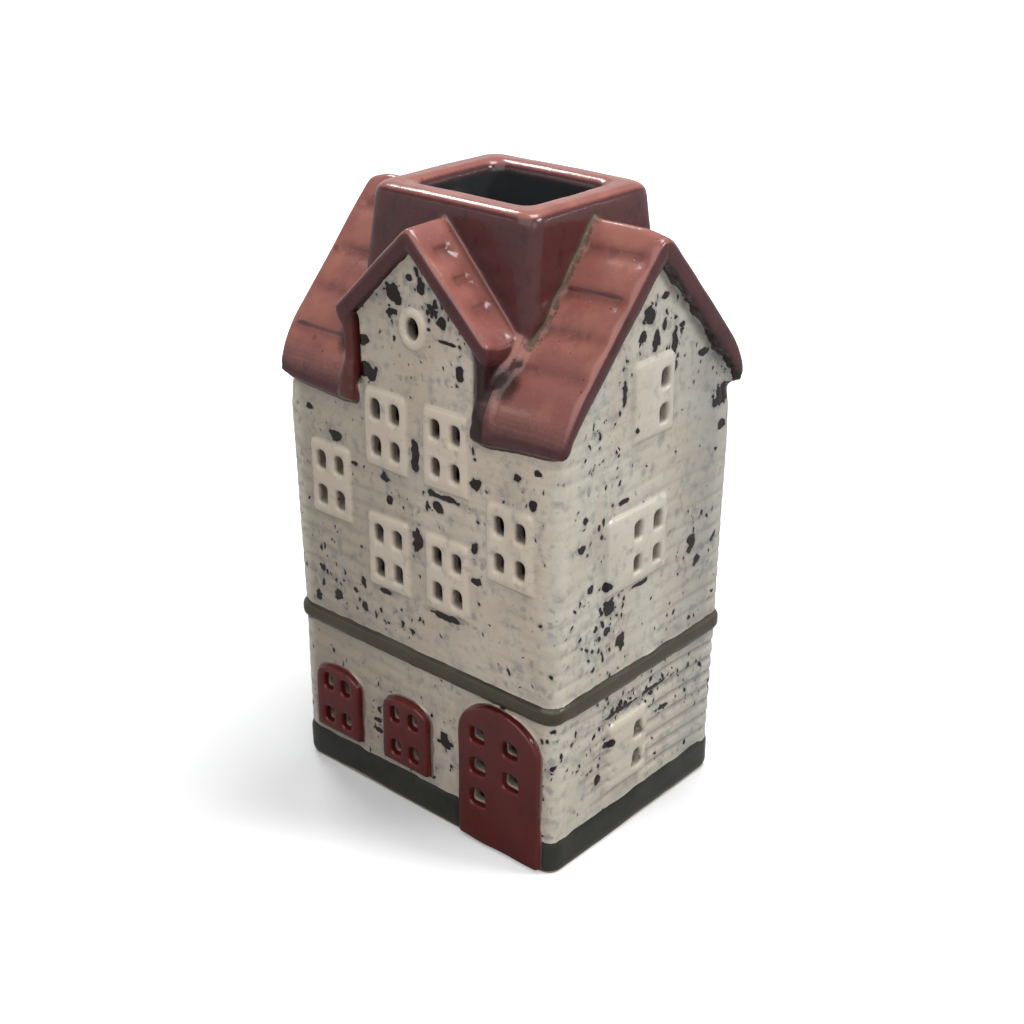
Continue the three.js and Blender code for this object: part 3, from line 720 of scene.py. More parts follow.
# %% Grooves only on the slopes' upper faces, and not at the verges or beside the chimney
off_chimney = np.maximum(fade_in(np.abs(X), 24.0, 2), fade_in(np.abs(Y), 21.4, 2))
on_top = fade_out(np.where(in_cross, under_cross, under_main), 2.2, 1.4)
inside_verge = fade_out(np.abs(X), 42.4, 3)
inside_cross = fade_in(Y, -32.6, 3.4) * fade_out(Y, -23.8, 2)
tiles = tiles * on_top * np.where(in_cross, inside_cross, inside_verge * off_chimney)
tiles = tiles * depth_change
print("deepest groove", round(GROOVE_DEPTH * float(tiles.max()), 2), "mm")

# %% Blur the slopes, the cross gable's low ends most
ROOF_FOOT = 94
loft = (slice(None), slice(None), slice(int((ROOF_FOOT - origin[2]) / CELL), None))
level = Z[..., loft[2]]
main_roof = blurred(union["main_roof"][loft], BLUR["main_roof"])
cross_roof = blurred(union["cross_roof"][loft], BLUR["cross_roof"])
low_end = fade_out(level, 124, 5) * fade_in(level, 108, 4)
softer = blurred(cross_roof, BLUR["low_ends"])
cross_roof = cross_roof + (softer - cross_roof) * low_end
print("roof grid", main_roof.shape)

# %% [markdown]
# The chimney is a crisp part. Its walls lean in, so the place of each side is read from the grid at
# every height, and just under the rim the four corners are set square again. Lower down, where the
# main roof covers its middle, that reading changes nothing.

# %% Square the chimney's corners
CHIMNEY_FOOT = 122
CHIMNEY_RIM = 146
FLUE_HALF_X = 17.5
FLUE_HALF_Y = 15
CORNER_X = 18.5
CORNER_Y = 15.8
middle_x = int((0 - origin[0]) / CELL)
middle_y = int((0 - origin[1]) / CELL)
chimney = union["chimney"][loft]
across_x = along[0][:, None]
across_y = along[1][:, None]
outside_x = (chimney[:, middle_y] > 0) & (across_x > FLUE_HALF_X)
outside_y = (chimney[middle_x] > 0) & (across_y > FLUE_HALF_Y)
side_x = along[0][np.argmax(outside_x, 0)] - CELL / 2
side_y = along[1][np.argmax(outside_y, 0)] - CELL / 2
square = np.maximum(np.abs(X) - side_x, np.abs(Y) - side_y)
above_foot = fade_in(level, CHIMNEY_FOOT, 3) * fade_out(level, CHIMNEY_RIM, 3)
at_corner = (np.abs(X) > CORNER_X) & (np.abs(Y) > CORNER_Y)
squared = chimney + (np.minimum(square, chimney) - chimney) * above_foot
chimney = np.where(at_corner, squared, chimney).astype(np.float32)
chimney = blurred(chimney, BLUR["chimney"])
print("chimney", round(float(side_x[-30]) * 2, 1), "mm wide near its rim")

# %% Join the roof's forms, with a wider fillet in the high part of each valley
SEAM_REACH = 3.6
CHIMNEY_FILLET = 1.3
VALLEY_FILLET = 2.8
MORE_HIGH_UP = 2.2
seam = np.clip(1 - (np.abs(main_roof) + np.abs(chimney)) / SEAM_REACH, 0, 1)
valley = VALLEY_FILLET + MORE_HIGH_UP * fade_in(level, 114, 3)
roof = np.full(SHAPE, FAR, np.float32)
roof[loft] = soft_union(soft_union(main_roof, cross_roof, valley), chimney, CHIMNEY_FILLET)
roof = roof + GROOVE_DEPTH * tiles + 0.12 * lumps(7, seed=33)
seams = np.zeros(SHAPE, np.float32)
seams[loft] = seam
print("valleys filled over", round(float(valley.min()), 1), "to", round(float(valley.max()), 1), "mm")

# %% [markdown]
# ## One soft body
#
# Walls, applied windows and roof are joined as a potter lutes them: a small fillet round each window,
# a wide one where the gables meet the roof at the back, and hardly any under the front eaves, where
# the shadow is sharp.

# %% Join walls, trim and roof
TRIM_FILLET = 1.4
EAVE_FILLET = 0.6
WIDEST_MORE = 3.0
trim = blurred(union["trim"], BLUR["trim"])
form = soft_union(walls, trim, TRIM_FILLET)
back_corner = bump(Z, 103, 5) * fade_in(np.abs(X), 35, 4) * fade_in(Y, 18, 8)
under_cross_gable = 0.36 * fade_out(Y, -30, 1) * fade_out(np.abs(X), 18.5, 2)
eave = np.maximum(back_corner, under_cross_gable)
eave_fillet = EAVE_FILLET + WIDEST_MORE * eave
form = soft_union(form, roof, eave_fillet)
form = form + 0.12 * lumps(12, seed=41) + 0.05 * lumps(4, seed=42)
print("the fillet under the eaves goes up to", round(float(eave_fillet.max()), 1), "mm")

# %% [markdown]
# The left gable and the back are not flat on the real house: they lean out a little towards the
# eaves. The field is moved outward by an amount that depends on the height, in mm.


# %% Leaning walls
def leaned(field, axis, outward, weight, heights, pushes):
    """Pushes one side of the field outward by an amount that depends on height."""
    at = along[axis]
    for k in range(SHAPE[2]):
        shift = np.interp(along[2][k], heights, pushes) * weight
        if shift.max() < 0.02:
            continue
        index = np.clip((at - outward * shift - origin[axis]) / CELL, 0, SHAPE[axis] - 1.001)
        base = index.astype(int)
        t = (index - base).astype(np.float32)
        t = t[:, None] if axis == 0 else t[None, :]
        sheet = field[:, :, k]
        field[:, :, k] = np.take(sheet, base, axis) * (1 - t) + np.take(sheet, base + 1, axis) * t
    return field


LEFT_HEIGHTS = (0, 45, 70, 95, 101, 105)
LEFT_PUSHES = (0.9, 1.1, 1.8, 2.3, 1.6, 0)
BACK_HEIGHTS = (0, 8, 45, 90, 98, 103)
BACK_PUSHES = (0, 0.2, 0.9, 1.6, 1.2, 0)
left_side = fade_in(-along[0], 34.6, 5)
back_side = fade_in(along[1], 12, 18)
form = leaned(form, 0, -1, left_side, LEFT_HEIGHTS, LEFT_PUSHES)
form = leaned(form, 1, 1, back_side, BACK_HEIGHTS, BACK_PUSHES)
print("the left gable leans out by", max(LEFT_PUSHES), "mm, the back by", max(BACK_PUSHES), "mm")

# %% Keep the form inside the solids' box, and note what stands proud
SKIN = 0.04
RELIEF_SIZE = 1.5
middle_mm = (low_mm + high_mm) / 2
half_mm = (high_mm - low_mm) / 2
beyond = np.maximum(np.abs(X - middle_mm[0]) - half_mm[0], np.abs(Y - middle_mm[1]) - half_mm[1])
beyond = np.maximum(beyond, np.abs(Z - middle_mm[2]) - half_mm[2])
form = np.maximum(form, beyond + SKIN)
relief = blurred(form, RELIEF_SIZE) - form
del union, walls, trim, roof, main_roof, cross_roof, chimney, seam
print("soft form ready, relief up to", round(float(relief.max()), 2), "mm")

# %% [markdown]
# ## Meshes
#
# Each piece is drawn where both "inside the soft form" and "near its own solid" hold. Past the border
# with its neighbour it dips a little, so that neighbours overlap out of sight and no gap opens.


# %% Read a field between its cells
def sample(field, points, start=(0, 0, 0)):
    """The field's value at points given in mm."""
    at = np.clip((points - origin) / CELL - start, 0, np.array(field.shape) - 1.001)
    base = at.astype(int)
    t = at - base
    total = 0
    for dx in (0, 1):
        for dy in (0, 1):
            for dz in (0, 1):
                weight = np.abs(1 - dx - t[:, 0]) * np.abs(1 - dy - t[:, 1]) * np.abs(1 - dz - t[:, 2])
                total = total + weight * field[base[:, 0] + dx, base[:, 1] + dy, base[:, 2] + dz]
    return total


hollow = sample(form, np.array([[0.0, 0.0, 75.0]]))[0]
print("the middle of the house is hollow:", bool(hollow > 0))

# %% The field of one piece
REACH = 3.8
ROLL_PIECE_REACH = 3.0
MORE_IN_ROLL = 5
DIP = 0.12
DEEPEST_DIP = 0.25
CLOSED = 0.2


def piece_field(name):
    """Inside the form, near the piece's own solid, and closed at the borders of its slice."""
    where, own, raced = reach_of[name]
    rival = np.where(owner[where] == ORDER.index(name), second[where], nearest[where])
    sunk = np.clip((raced - rival) * DIP, 0, DEEPEST_DIP)
    reach = REACH
    if name in CHEEKS + FRONT_SLOPES:
        reach = ROLL_PIECE_REACH + MORE_IN_ROLL * in_roll[where]
    field = np.maximum(form[where] + sunk, own - reach)
    for axis in range(3):
        for end in (0, -1):
            face = [slice(None)] * 3
            face[axis] = end
            field[tuple(face)] = np.maximum(field[tuple(face)], CLOSED)
    return field


print("a piece reaches", REACH, "mm past its solid")


# %% Its surface, with the points pulled onto the exact zero
def skin_of(field, start):
    grid = openvdb.FloatGrid(FAR)
    grid.copyFromArray(np.ascontiguousarray(field))
    points, quads = grid.convertToQuads(0.0)
    points = (points + start) * CELL + origin
    slope = [sample(part, points, start) for part in np.gradient(field, CELL)]
    steep = np.maximum(sum(part * part for part in slope), 0.2)
    off = np.clip(sample(field, points, start) / steep, -0.2, 0.2)
    points = points - np.stack([part * off for part in slope], 1)
    return np.clip(points, low_mm + 0.01, high_mm - 0.01), quads


def mesh_of(name, points, quads):
    mesh = bpy.data.meshes.new(name)
    mesh.vertices.add(len(points))
    mesh.vertices.foreach_set("co", (points * MM).astype(np.float32).ravel())
    mesh.loops.add(len(quads) * 4)
    corners = np.ascontiguousarray(quads[:, ::-1]).astype(np.int32)
    mesh.loops.foreach_set("vertex_index", corners.ravel())
    mesh.polygons.add(len(quads))
    mesh.polygons.foreach_set("loop_start", np.arange(0, len(quads) * 4, 4, dtype=np.int32))
    mesh.update(calc_edges=True)
    mesh.validate()
    mesh.shade_smooth()
    return mesh


def note(mesh, label, values):
    """Keeps one number at every point of a mesh, for the material to read."""
    made = mesh.attributes.new(label, "FLOAT", "POINT")
    made.data.foreach_set("value", values.astype(np.float32))


print("points are kept", 0.01, "mm inside the box")


# %% Draw every piece
def draw(name):
    where = reach_of[name][0]
    start = np.array([w.start for w in where])
    points, quads = skin_of(piece_field(name), start)
    mesh = mesh_of(name + "_fired", points, quads)
    note(mesh, "raised", sample(relief, points))
    if name in SLOPES + ["chimney"]:
        note(mesh, "joint", sample(tiles, points))
        note(mesh, "seam", sample(seams, points))
    piece = bpy.data.objects.new(name + "_fired", mesh)
    bpy.context.collection.objects.link(piece)
    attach(piece, "root")
    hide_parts(name)
    return piece


pieces = {name: draw(name) for name in ORDER}
print({name: len(piece.data.polygons) for name, piece in pieces.items()})

# %% [markdown]
# ## Where the white glaze is bare
#
# The white glaze has crawled: it drew back from the dark clay in spots and larger patches while it
# melted. The larger ones on the real house have places of their own, so they are listed here as
# marks across and up each face, in mm. Smaller spots come from noise, in zones where they are thick.

# %% Larger bare patches on the front: across, height, half width, half height
FRONT_PATCHES = (
    (-5.5, 129.3, 2.0, 1.9), (-6.8, 125.3, 1.5, 0.9), (2.5, 132.0, 1.1, 1.7), (5.3, 128.3, 1.7, 1.3),
    (8.1, 125.9, 1.1, 1.5), (-16.2, 117.0, 1.9, 1.1), (-14.6, 109.6, 2.6, 2.1), (10.2, 121.7, 2.6, 0.4),
    (-1.2, 133.9, 1.0, 0.7), (13.2, 115.6, 0.9, 1.8), (-34.0, 96.6, 1.0, 0.8), (-25.6, 91.9, 2.2, 1.3),
    (-0.3, 93.8, 1.1, 3.1), (-10.0, 85.7, 1.2, 1.1), (-8.6, 80.7, 0.9, 1.0), (-0.3, 72.7, 1.3, 3.4),
    (8.4, 86.0, 5.0, 0.8), (3.0, 82.2, 0.6, 1.0), (6.6, 83.3, 1.4, 1.1), (17.6, 92.1, 1.2, 1.1),
    (17.4, 97.6, 0.8, 0.6), (29.2, 96.8, 1.0, 0.9), (34.8, 99.2, 0.9, 0.7), (33.6, 91.6, 0.8, 1.1),
    (17.2, 76.5, 1.3, 1.1), (17.6, 68.4, 1.5, 0.8), (7.8, 56.5, 5.2, 0.7), (-19.6, 86.3, 0.9, 0.5),
    (-18.5, 57.0, 0.9, 1.5), (-27.5, 50.1, 1.4, 1.3), (-34.4, 47.3, 0.8, 1.2), (-18.2, 49.6, 1.0, 1.0),
    (-11.0, 56.3, 2.4, 0.6), (-15.6, 19.5, 1.6, 0.6), (-15.0, 16.6, 1.2, 0.6), (7.2, 22.9, 1.6, 1.5),
)
print(len(FRONT_PATCHES), "patches on the front have places of their own")

# %% Larger bare patches on the right gable
GABLE_PATCHES = (
    (26.8, 101.4, 3.0, 2.6), (27.6, 94.1, 1.5, 1.0), (-9.5, 111.3, 0.8, 2.5), (-5.5, 102.6, 0.8, 0.8),
    (-8.5, 87.0, 1.7, 0.6), (-21.9, 86.8, 0.9, 1.1), (-23.1, 80.2, 1.2, 1.0), (-14.0, 68.5, 1.2, 1.1),
    (-19.3, 69.6, 1.0, 1.1), (-12.6, 62.3, 1.7, 1.7), (-8.1, 52.3, 1.3, 1.7), (-13.1, 57.2, 1.0, 1.0),
    (18.1, 66.7, 1.4, 2.4), (20.6, 61.9, 1.2, 1.2), (27.0, 65.6, 0.9, 1.1), (-1.8, 64.4, 2.9, 0.5),
    (-2.2, 127.4, 1.9, 1.8), (0.8, 120.7, 1.1, 2.1), (7.7, 119.4, 1.0, 2.9), (-4.0, 123.2, 1.0, 1.3),
    (3.7, 124.2, 0.9, 1.4), (10.5, 122.4, 1.2, 0.6), (3.4, 130.2, 1.2, 0.7), (8.2, 113.4, 0.9, 1.2),
    (18.2, 114.0, 1.7, 0.8), (-7.0, 33.9, 6.0, 0.5), (6.0, 34.2, 5.0, 0.5), (-12.2, 26.8, 1.9, 0.9),
    (9.6, 26.8, 2.2, 0.6), (-15.2, 18.6, 1.0, 1.3),
)
print(len(GABLE_PATCHES), "patches on the right gable have places of their own")

# %% Zones of small spots: across, height, spread across, spread up, how thick
FRONT_ZONES = (
    (0, 128, 11, 9, 0.9), (-16, 112, 4, 8, 0.5), (-26, 53, 15, 7, 0.75), (-4, 52, 10, 4, 0.4),
    (-30, 95, 8, 6, 0.3), (5, 84, 8, 4, 0.4), (0, 27, 10, 8, 0.25), (9, 22, 3, 7, 0.7),
    (-15, 18, 3, 6, 0.7), (13, 118, 3, 8, 0.5), (38, 25, 5, 14, 0.4),
)
GABLE_ZONES = (
    (2, 121, 10, 10, 0.8), (-14, 62, 9, 18, 0.85), (20, 66, 7, 12, 0.6), (24, 105, 6, 8, 0.5),
    (-2, 34, 24, 3, 0.8), (-12, 25, 8, 12, 0.6), (14, 28, 14, 8, 0.4), (-14, 100, 8, 12, 0.35),
)
PLAIN_ZONES = (
    (0, 122, 12, 10, 0.8), (-16, 70, 9, 18, 0.6), (18, 58, 8, 12, 0.6), (4, 96, 14, 10, 0.35),
    (-2, 34, 22, 4, 0.5),
)
print(len(FRONT_ZONES) + len(GABLE_ZONES) + len(PLAIN_ZONES), "zones of small spots")

# %% Stray patches for the two sides that the photograph does not show
STRAY_COUNT = 34
stray = np.random.default_rng(51)


def stray_patch():
    across = stray.uniform(-30, 30)
    height = stray.uniform(46, 112)
    return across, height, stray.uniform(0.7, 1.7), stray.uniform(0.7, 1.9)


PLAIN_PATCHES = [stray_patch() for _ in range(STRAY_COUNT)]
print(len(PLAIN_PATCHES), "stray patches")

# %% How spotted each point of a wall is, and how far inside a larger patch
EVERYWHERE = 0.45
ZONE_STRENGTH = 0.62


def face_marks(points):
    x, y, z = points.T
    thick = np.full(len(points), EVERYWHERE)
    patch = np.full(len(points), -1.0)
    front = (y < -29.3) & (np.abs(x) <= 40.3)
    gable = (x > 37.8) & ~front
    left = (x < -37.8) & ~front
    rear = ~(front | gable | left)
    faces = ((front, x, FRONT_ZONES, FRONT_PATCHES), (gable, y, GABLE_ZONES, GABLE_PATCHES),
             (left, -y, PLAIN_ZONES, PLAIN_PATCHES), (rear, -x, PLAIN_ZONES, PLAIN_PATCHES))
    for chosen, across, zones, patches in faces:
        a = across[chosen]
        h = z[chosen]
        total = thick[chosen]
        best = patch[chosen]
        for middle, height, wide, tall, amount in zones:
            nearby = np.exp(-(((a - middle) / wide) ** 2) - ((h - height) / tall) ** 2)
            total = total + ZONE_STRENGTH * amount * nearby
        for middle, height, wide, tall in patches:
            spread = np.sqrt(((a - middle) / wide) ** 2 + ((h - height) / tall) ** 2)
            best = np.maximum(best, 1 - spread)
        thick[chosen] = total
        patch[chosen] = best
    return thick, patch


print("away from every zone, spots have strength", EVERYWHERE)

# %% Note the marks on the white pieces, fewer on the raised frames
ON_FRAMES = 0.25
FRAMES = FRONT_WINDOWS + GABLE_WINDOWS + ["oculus_ring"]
for name in WALLS + FRAMES:
    mesh = pieces[name].data
    points = np.empty(len(mesh.vertices) * 3)
    mesh.vertices.foreach_get("co", points)
    thick, patch = face_marks(points.reshape(-1, 3) / MM)
    note(mesh, "spotted", thick * ON_FRAMES if name in FRAMES else thick)
    note(mesh, "patch", patch)
print("marked", len(WALLS + FRAMES), "white pieces")

# %% [markdown]
# ## Shared effects
#
# Three effects are used by more than one glaze, so each is a node group: the crawling that leaves
# bare spots, the clouding of thick and thin glaze, and the soft ripple of its surface. A painted
# image could show the same marks, but it would need unwrapping and would blur close up. In all three
# groups a place is given in mm.


# %% A node group with named sockets
def group(name, inputs, outputs):
    made = bpy.data.node_groups.new(name, "ShaderNodeTree")
    for label, kind in inputs:
        made.interface.new_socket(label, in_out="INPUT", socket_type="NodeSocket" + kind)
    for label, kind in outputs:
        made.interface.new_socket(label, in_out="OUTPUT", socket_type="NodeSocket" + kind)
    return made, made.nodes.new("NodeGroupInput").outputs, made.nodes.new("NodeGroupOutput").inputs


def give(tree, gives, results):
    """Joins each result to the group's output of that name."""
    for label, socket in results.items():
        tree.links.new(socket, gives[label])
    print(len(tree.nodes), "nodes in", tree.name)


# %% [markdown]
# Crawled glaze has round bare spots of several sizes. Each size is a grid of cells with one dot in
# each. A dot becomes a spot where its own chance is below the amount that the wall asks for there.

# %% Crawled glaze: sizes of its spots, as cell in mm, largest radius and softness in cells
SPOT_SIZES = ((4.2, 0.28, 0.03), (3.0, 0.3, 0.04), (2.1, 0.33, 0.06), (1.4, 0.28, 0.08))
RAREST = 0.26
WANDER_MM = 2.6
crawl, given, gives = group(
    "crawled_glaze",
    (("Place", "Vector"), ("Amount", "Float"), ("Patch", "Float"), ("Shape", "Vector")),
    (("Bare", "Float"), ("Thin Edge", "Float"), ("Veil", "Float")),
)
wander = put(crawl, "ShaderNodeTexNoise", {"Vector": given["Place"], "Scale": 0.42, "Detail": 1.5})
offset = moved(crawl, wander.outputs["Color"], (-0.5, -0.5, -0.5))
offset = scaled(crawl, offset, (WANDER_MM, WANDER_MM, WANDER_MM))
spot_place = scaled(crawl, moved(crawl, given["Place"], offset), given["Shape"])
crowd = step(crawl, noise(crawl, given["Place"], 0.09, 2.0), 0.36, 0.68, 0.7, 1.2)
amount = times(crawl, given["Amount"], crowd)
print(len(SPOT_SIZES), "sizes of spots")

# %% Crawled glaze: the spots, and a thin edge round each
bare = 0.0
thin_edge = 0.0
for cell_mm, largest, softness in SPOT_SIZES:
    distance, chances = cells(crawl, spot_place, 1 / cell_mm)
    odds = minus(crawl, amount, plus(crawl, chances[0], RAREST))
    radius = plus(crawl, step(crawl, odds, 0.0, 0.05, -0.3, 0.5), step(crawl, odds, 0.0, 0.7, 0.0, 0.5))
    inside = minus(crawl, times(crawl, radius, largest), distance)
    bare = larger(crawl, bare, step(crawl, inside, 0.0, softness))
    thin_edge = larger(crawl, thin_edge, step(crawl, inside, -0.16, 0.02))
print(len(crawl.nodes), "nodes so far")

# %% Crawled glaze: larger patches with a ragged outline
RAGGED = 2.3
rough = minus(crawl, noise(crawl, given["Place"], 0.46, 1.2, 0.5), 0.45)
ragged_patch = plus(crawl, given["Patch"], times(crawl, rough, RAGGED))
bare = larger(crawl, bare, step(crawl, ragged_patch, 0.0, 0.1))
thin_edge = larger(crawl, thin_edge, step(crawl, ragged_patch, -0.6, 0.1))
print(len(crawl.nodes), "nodes so far")

# %% Crawled glaze: bluish veils, where it nearly crawled but closed again
shifted = moved(crawl, spot_place, (19.0, 7.0, 31.0))
distance, chances = cells(crawl, shifted, 0.42)
ghost = step(crawl, minus(crawl, chances[0], amount), 0.3, -0.6, 0.0, 0.42)
veil = step(crawl, minus(crawl, ghost, distance), -0.1, 0.2)
smoke = noise(crawl, moved(crawl, given["Place"], (3.0, 41.0, 17.0)), 0.3, 3.0, 0.55)
smoke = step(crawl, plus(crawl, smoke, times(crawl, amount, 0.12)), 0.56, 0.8)
veil = larger(crawl, veil, smoke)
give(crawl, gives, {"Bare": bare, "Thin Edge": thin_edge, "Veil": veil})

# %% [markdown]
# A glaze is never one even colour. It pools in hollows, thins on edges and keeps faint brush strokes.
# The clouding group answers four questions for any glaze: how thin it is here, how warm, how fine its
# grain is, and whether a stroke runs through. Each glaze then picks its own paints for them.

# %% Clouding: where a glaze lies thick and where it lies thin
cloud, given, gives = group(
    "clouded_glaze",
    (("Place", "Vector"), ("Size", "Float"), ("Raised", "Float")),
    (("Thin", "Float"), ("Warm", "Float"), ("Fine", "Float"), ("Streak", "Float")),
)
frequency = sums(cloud, "DIVIDE", 1.0, given["Size"])
flow = scaled(cloud, given["Place"], (1.0, 1.0, 0.62))
wide = noise(cloud, flow, frequency, 4.0, 0.6)
narrow = noise(cloud, moved(cloud, flow, (37.0, 11.0, 5.0)), times(cloud, frequency, 3.2), 3.0, 0.6)
thin = plus(cloud, step(cloud, wide, 0.5, 0.75, 0.0, 0.7), step(cloud, narrow, 0.52, 0.72, 0.0, 0.7))
low_places = step(cloud, given["Raised"], -0.22, 0.1, 0.5, 0.0)
thin = sums(cloud, "ADD", thin, low_places, clamp=True)
warm = step(cloud, noise(cloud, moved(cloud, flow, (5.0, 71.0, 23.0)), frequency, 2.0), 0.4, 0.65)
fine = noise(cloud, given["Place"], 1.9, 3.0, 0.65)
brushed = noise(cloud, scaled(cloud, given["Place"], (0.3, 0.3, 1.3)), 0.55, 4.0, 0.62)
streak = step(cloud, brushed, 0.46, 0.68)
give(cloud, gives, {"Thin": thin, "Warm": warm, "Fine": fine, "Streak": streak})

# %% [markdown]
# Highlights on a glaze break up, because its surface ripples and has pinholes. These are too small
# for the mesh, so the ripple group puts out a height for a bump.

# %% Ripple: a glaze surface is never quite flat
PIT_DEPTH = 0.35
GRAIN_SHARE = 0.06
ripple, given, gives = group(
    "glaze_ripple",
    (("Place", "Vector"), ("Ripple", "Float"), ("Pits", "Float"), ("Hollow", "Float")),
    (("Height", "Float"), ("Pit", "Float")),
)
swell = noise(ripple, given["Place"], 0.35, 2.0, 0.5)
grain = noise(ripple, given["Place"], 2.6, 2.0, 0.6)
distance, chances = cells(ripple, given["Place"], 0.62)
pit_radius = step(ripple, chances[1], 0.78, 1.0, 0.0, 0.22)
pit = step(ripple, minus(ripple, pit_radius, distance), 0.0, 0.08)
pit = times(ripple, pit, given["Pits"])
height = times(ripple, swell, given["Ripple"])
height = plus(ripple, height, times(ripple, grain, times(ripple, given["Ripple"], GRAIN_SHARE)))
height = minus(ripple, height, times(ripple, pit, PIT_DEPTH))
height = minus(ripple, height, given["Hollow"])
give(ripple, gives, {"Height": height, "Pit": pit})

# %% [markdown]
# ## The glazes
#
# Each glaze is one Principled shader. Its colour is built up in the order the potter worked: clay,
# glaze, clouding, then the places where it ran thin or crawled off. Each of these is a layer: a
# colour, and a mask that says where it shows.

# %% Start and end of every glaze
GLASSY = 1.5
glazes = {}


def new_glaze(name, roughness):
    made = bpy.data.materials.new(name + "_fired")
    glazes[name] = made
    made.use_nodes = True
    tree = made.node_tree
    shader = tree.nodes["Principled BSDF"]
    shader.inputs["Roughness"].default_value = roughness
    shader.inputs["IOR"].default_value = GLASSY
    here = put(tree, "ShaderNodeTexCoord").outputs["Object"]
    place = scaled(tree, here, (1 / MM, 1 / MM, 1 / MM))
    return tree, shader, place


def finish_surface(tree, shader, colour, height, depth_mm, roughness=None):
    tree.links.new(colour, shader.inputs["Base Color"])
    if roughness is not None:
        tree.links.new(roughness, shader.inputs["Roughness"])
    bumped = put(tree, "ShaderNodeBump", {"Height": height, "Strength": 1.0, "Distance": depth_mm * MM})
    tree.links.new(bumped.outputs[0], shader.inputs["Normal"])


print("every glaze has an index of refraction of", GLASSY)


# %% Layers, shared effects and the numbers kept on the mesh
def layer(tree, under, mask, over, strength=1.0):
    """The colour under it, with one more colour over it where the mask shows."""
    amount = mask if strength == 1.0 else times(tree, mask, strength)
    return blend(tree, amount, under, over)


def use(tree, shared, inputs):
    return put(tree, "ShaderNodeGroup", inputs, node_tree=shared).outputs


def attribute(tree, name):
    return put(tree, "ShaderNodeAttribute", attribute_name=name).outputs["Fac"]


print("numbers on the chimney's mesh:", pieces["chimney"].data.attributes.keys())


# %% [markdown]
# Through the panes one sees the wall's thickness and then the dark inside. The pieces have no separate
# faces for that, so the colour changes with the depth under the outer face, with an uneven border.

# %% The smoked inside, seen through the panes
def into_the_wall(tree, place, start, end, deeper=0.0):
    """1 on the smoked inside, 0 on the outer face, soft in between."""
    x, y, _ = split_up(tree, place)
    from_side = minus(tree, HALF_W, size_of(tree, x))
    from_front = minus(tree, HALF_D, size_of(tree, y))
    near_corner = step(tree, larger(tree, from_side, from_front), 4.6, 3.2, 0.0, 3.0)
    depth = sums(tree, "MINIMUM", minus(tree, from_side, 0.8), from_front)
    depth = minus(tree, minus(tree, depth, near_corner), deeper)
    uneven = minus(tree, noise(tree, place, 0.16, 2.0), 0.5)
    uneven = times(tree, uneven, step(tree, depth, 0.1, 1.2, 0.0, 4.0))
    return step(tree, plus(tree, depth, uneven), start, end)


print("the smoke starts", HALF_W, "and", HALF_D, "mm from the middle")

# %% [markdown]
# ## White glaze
#
# The walls are a warm white. Painted shade greys it a little to the left and to the foot of the front,
# and round to the back of the gables; painted light makes the front warmer than the sides. Raised
# places are lighter and thin places greyer. One colour with noise over it would look dirty all over,
# so each change has its own reason and its own place.

# %% Paints of the white glaze
# The front and side whites, and the front and side crests, are one glaze with painted light: warmer and
# lighter on the front, cooler on the sides.
FRONT_WHITE_WARM_LIT = paint(214, 200, 183)
SIDE_WHITE_COOL_LIT = paint(202, 197, 183)
WARM_WHITE = paint(196, 174, 150)
LEFT_SHADE = paint(134, 122, 106)
BACK_SHADE = paint(128, 132, 128)
THIN_WHITE = paint(150, 148, 140)
STREAKED_WHITE = paint(136, 130, 118)
FRONT_CREST_WARM_LIT = paint(232, 217, 196)
SIDE_CREST_COOL_LIT = paint(218, 211, 194)
BLUISH_VEIL = paint(114, 118, 122)
BLUISH_EDGE = paint(116, 118, 120)
BROWN_SPECK = paint(110, 100, 90)
DARK_CLAY = paint(22, 8, 4)
LIGHT_CLAY = paint(42, 21, 14)
PANE_SIDE = paint(136, 126, 116)
SMOKED_WHITE = paint(26, 24, 23)
SPOT_SHAPE = (1.0, 1.0, 0.72)
print("white glaze has", round(FRONT_WHITE_WARM_LIT[0] / LEFT_SHADE[0], 1), "times the light of its shade")


# %% White glaze: shaded by place, then clouded
def shaded_white(tree, place, on_side, clouded, shade_and_mottle):
    x, y, z = split_up(tree, place)
    # Painted light: the front gets a warmer, lighter copy of the white than the gable sides.
    colour = blend(tree, on_side, FRONT_WHITE_WARM_LIT, SIDE_WHITE_COOL_LIT)
    colour = layer(tree, colour, clouded["Warm"], WARM_WHITE, 0.4)
    # Painted shade: darker to the left and to the foot of the front, and towards the back of the gables.
    to_left = step(tree, x, 26.0, -34.0, 0.0, 0.56)
    to_foot = step(tree, z, 80.0, 36.0, 0.0, 0.14)
    to_back = times(tree, step(tree, y, 2.0, 28.0, 0.0, 0.6), on_side)
    shade = times(tree, plus(tree, to_left, to_foot), minus(tree, 1.0, on_side))
    colour = layer(tree, colour, shade, LEFT_SHADE, shade_and_mottle)
    colour = layer(tree, colour, to_back, BACK_SHADE, shade_and_mottle)
    colour = layer(tree, colour, clouded["Thin"], THIN_WHITE, 0.52 * shade_and_mottle)
    return layer(tree, colour, clouded["Streak"], STREAKED_WHITE, 0.15 * shade_and_mottle)


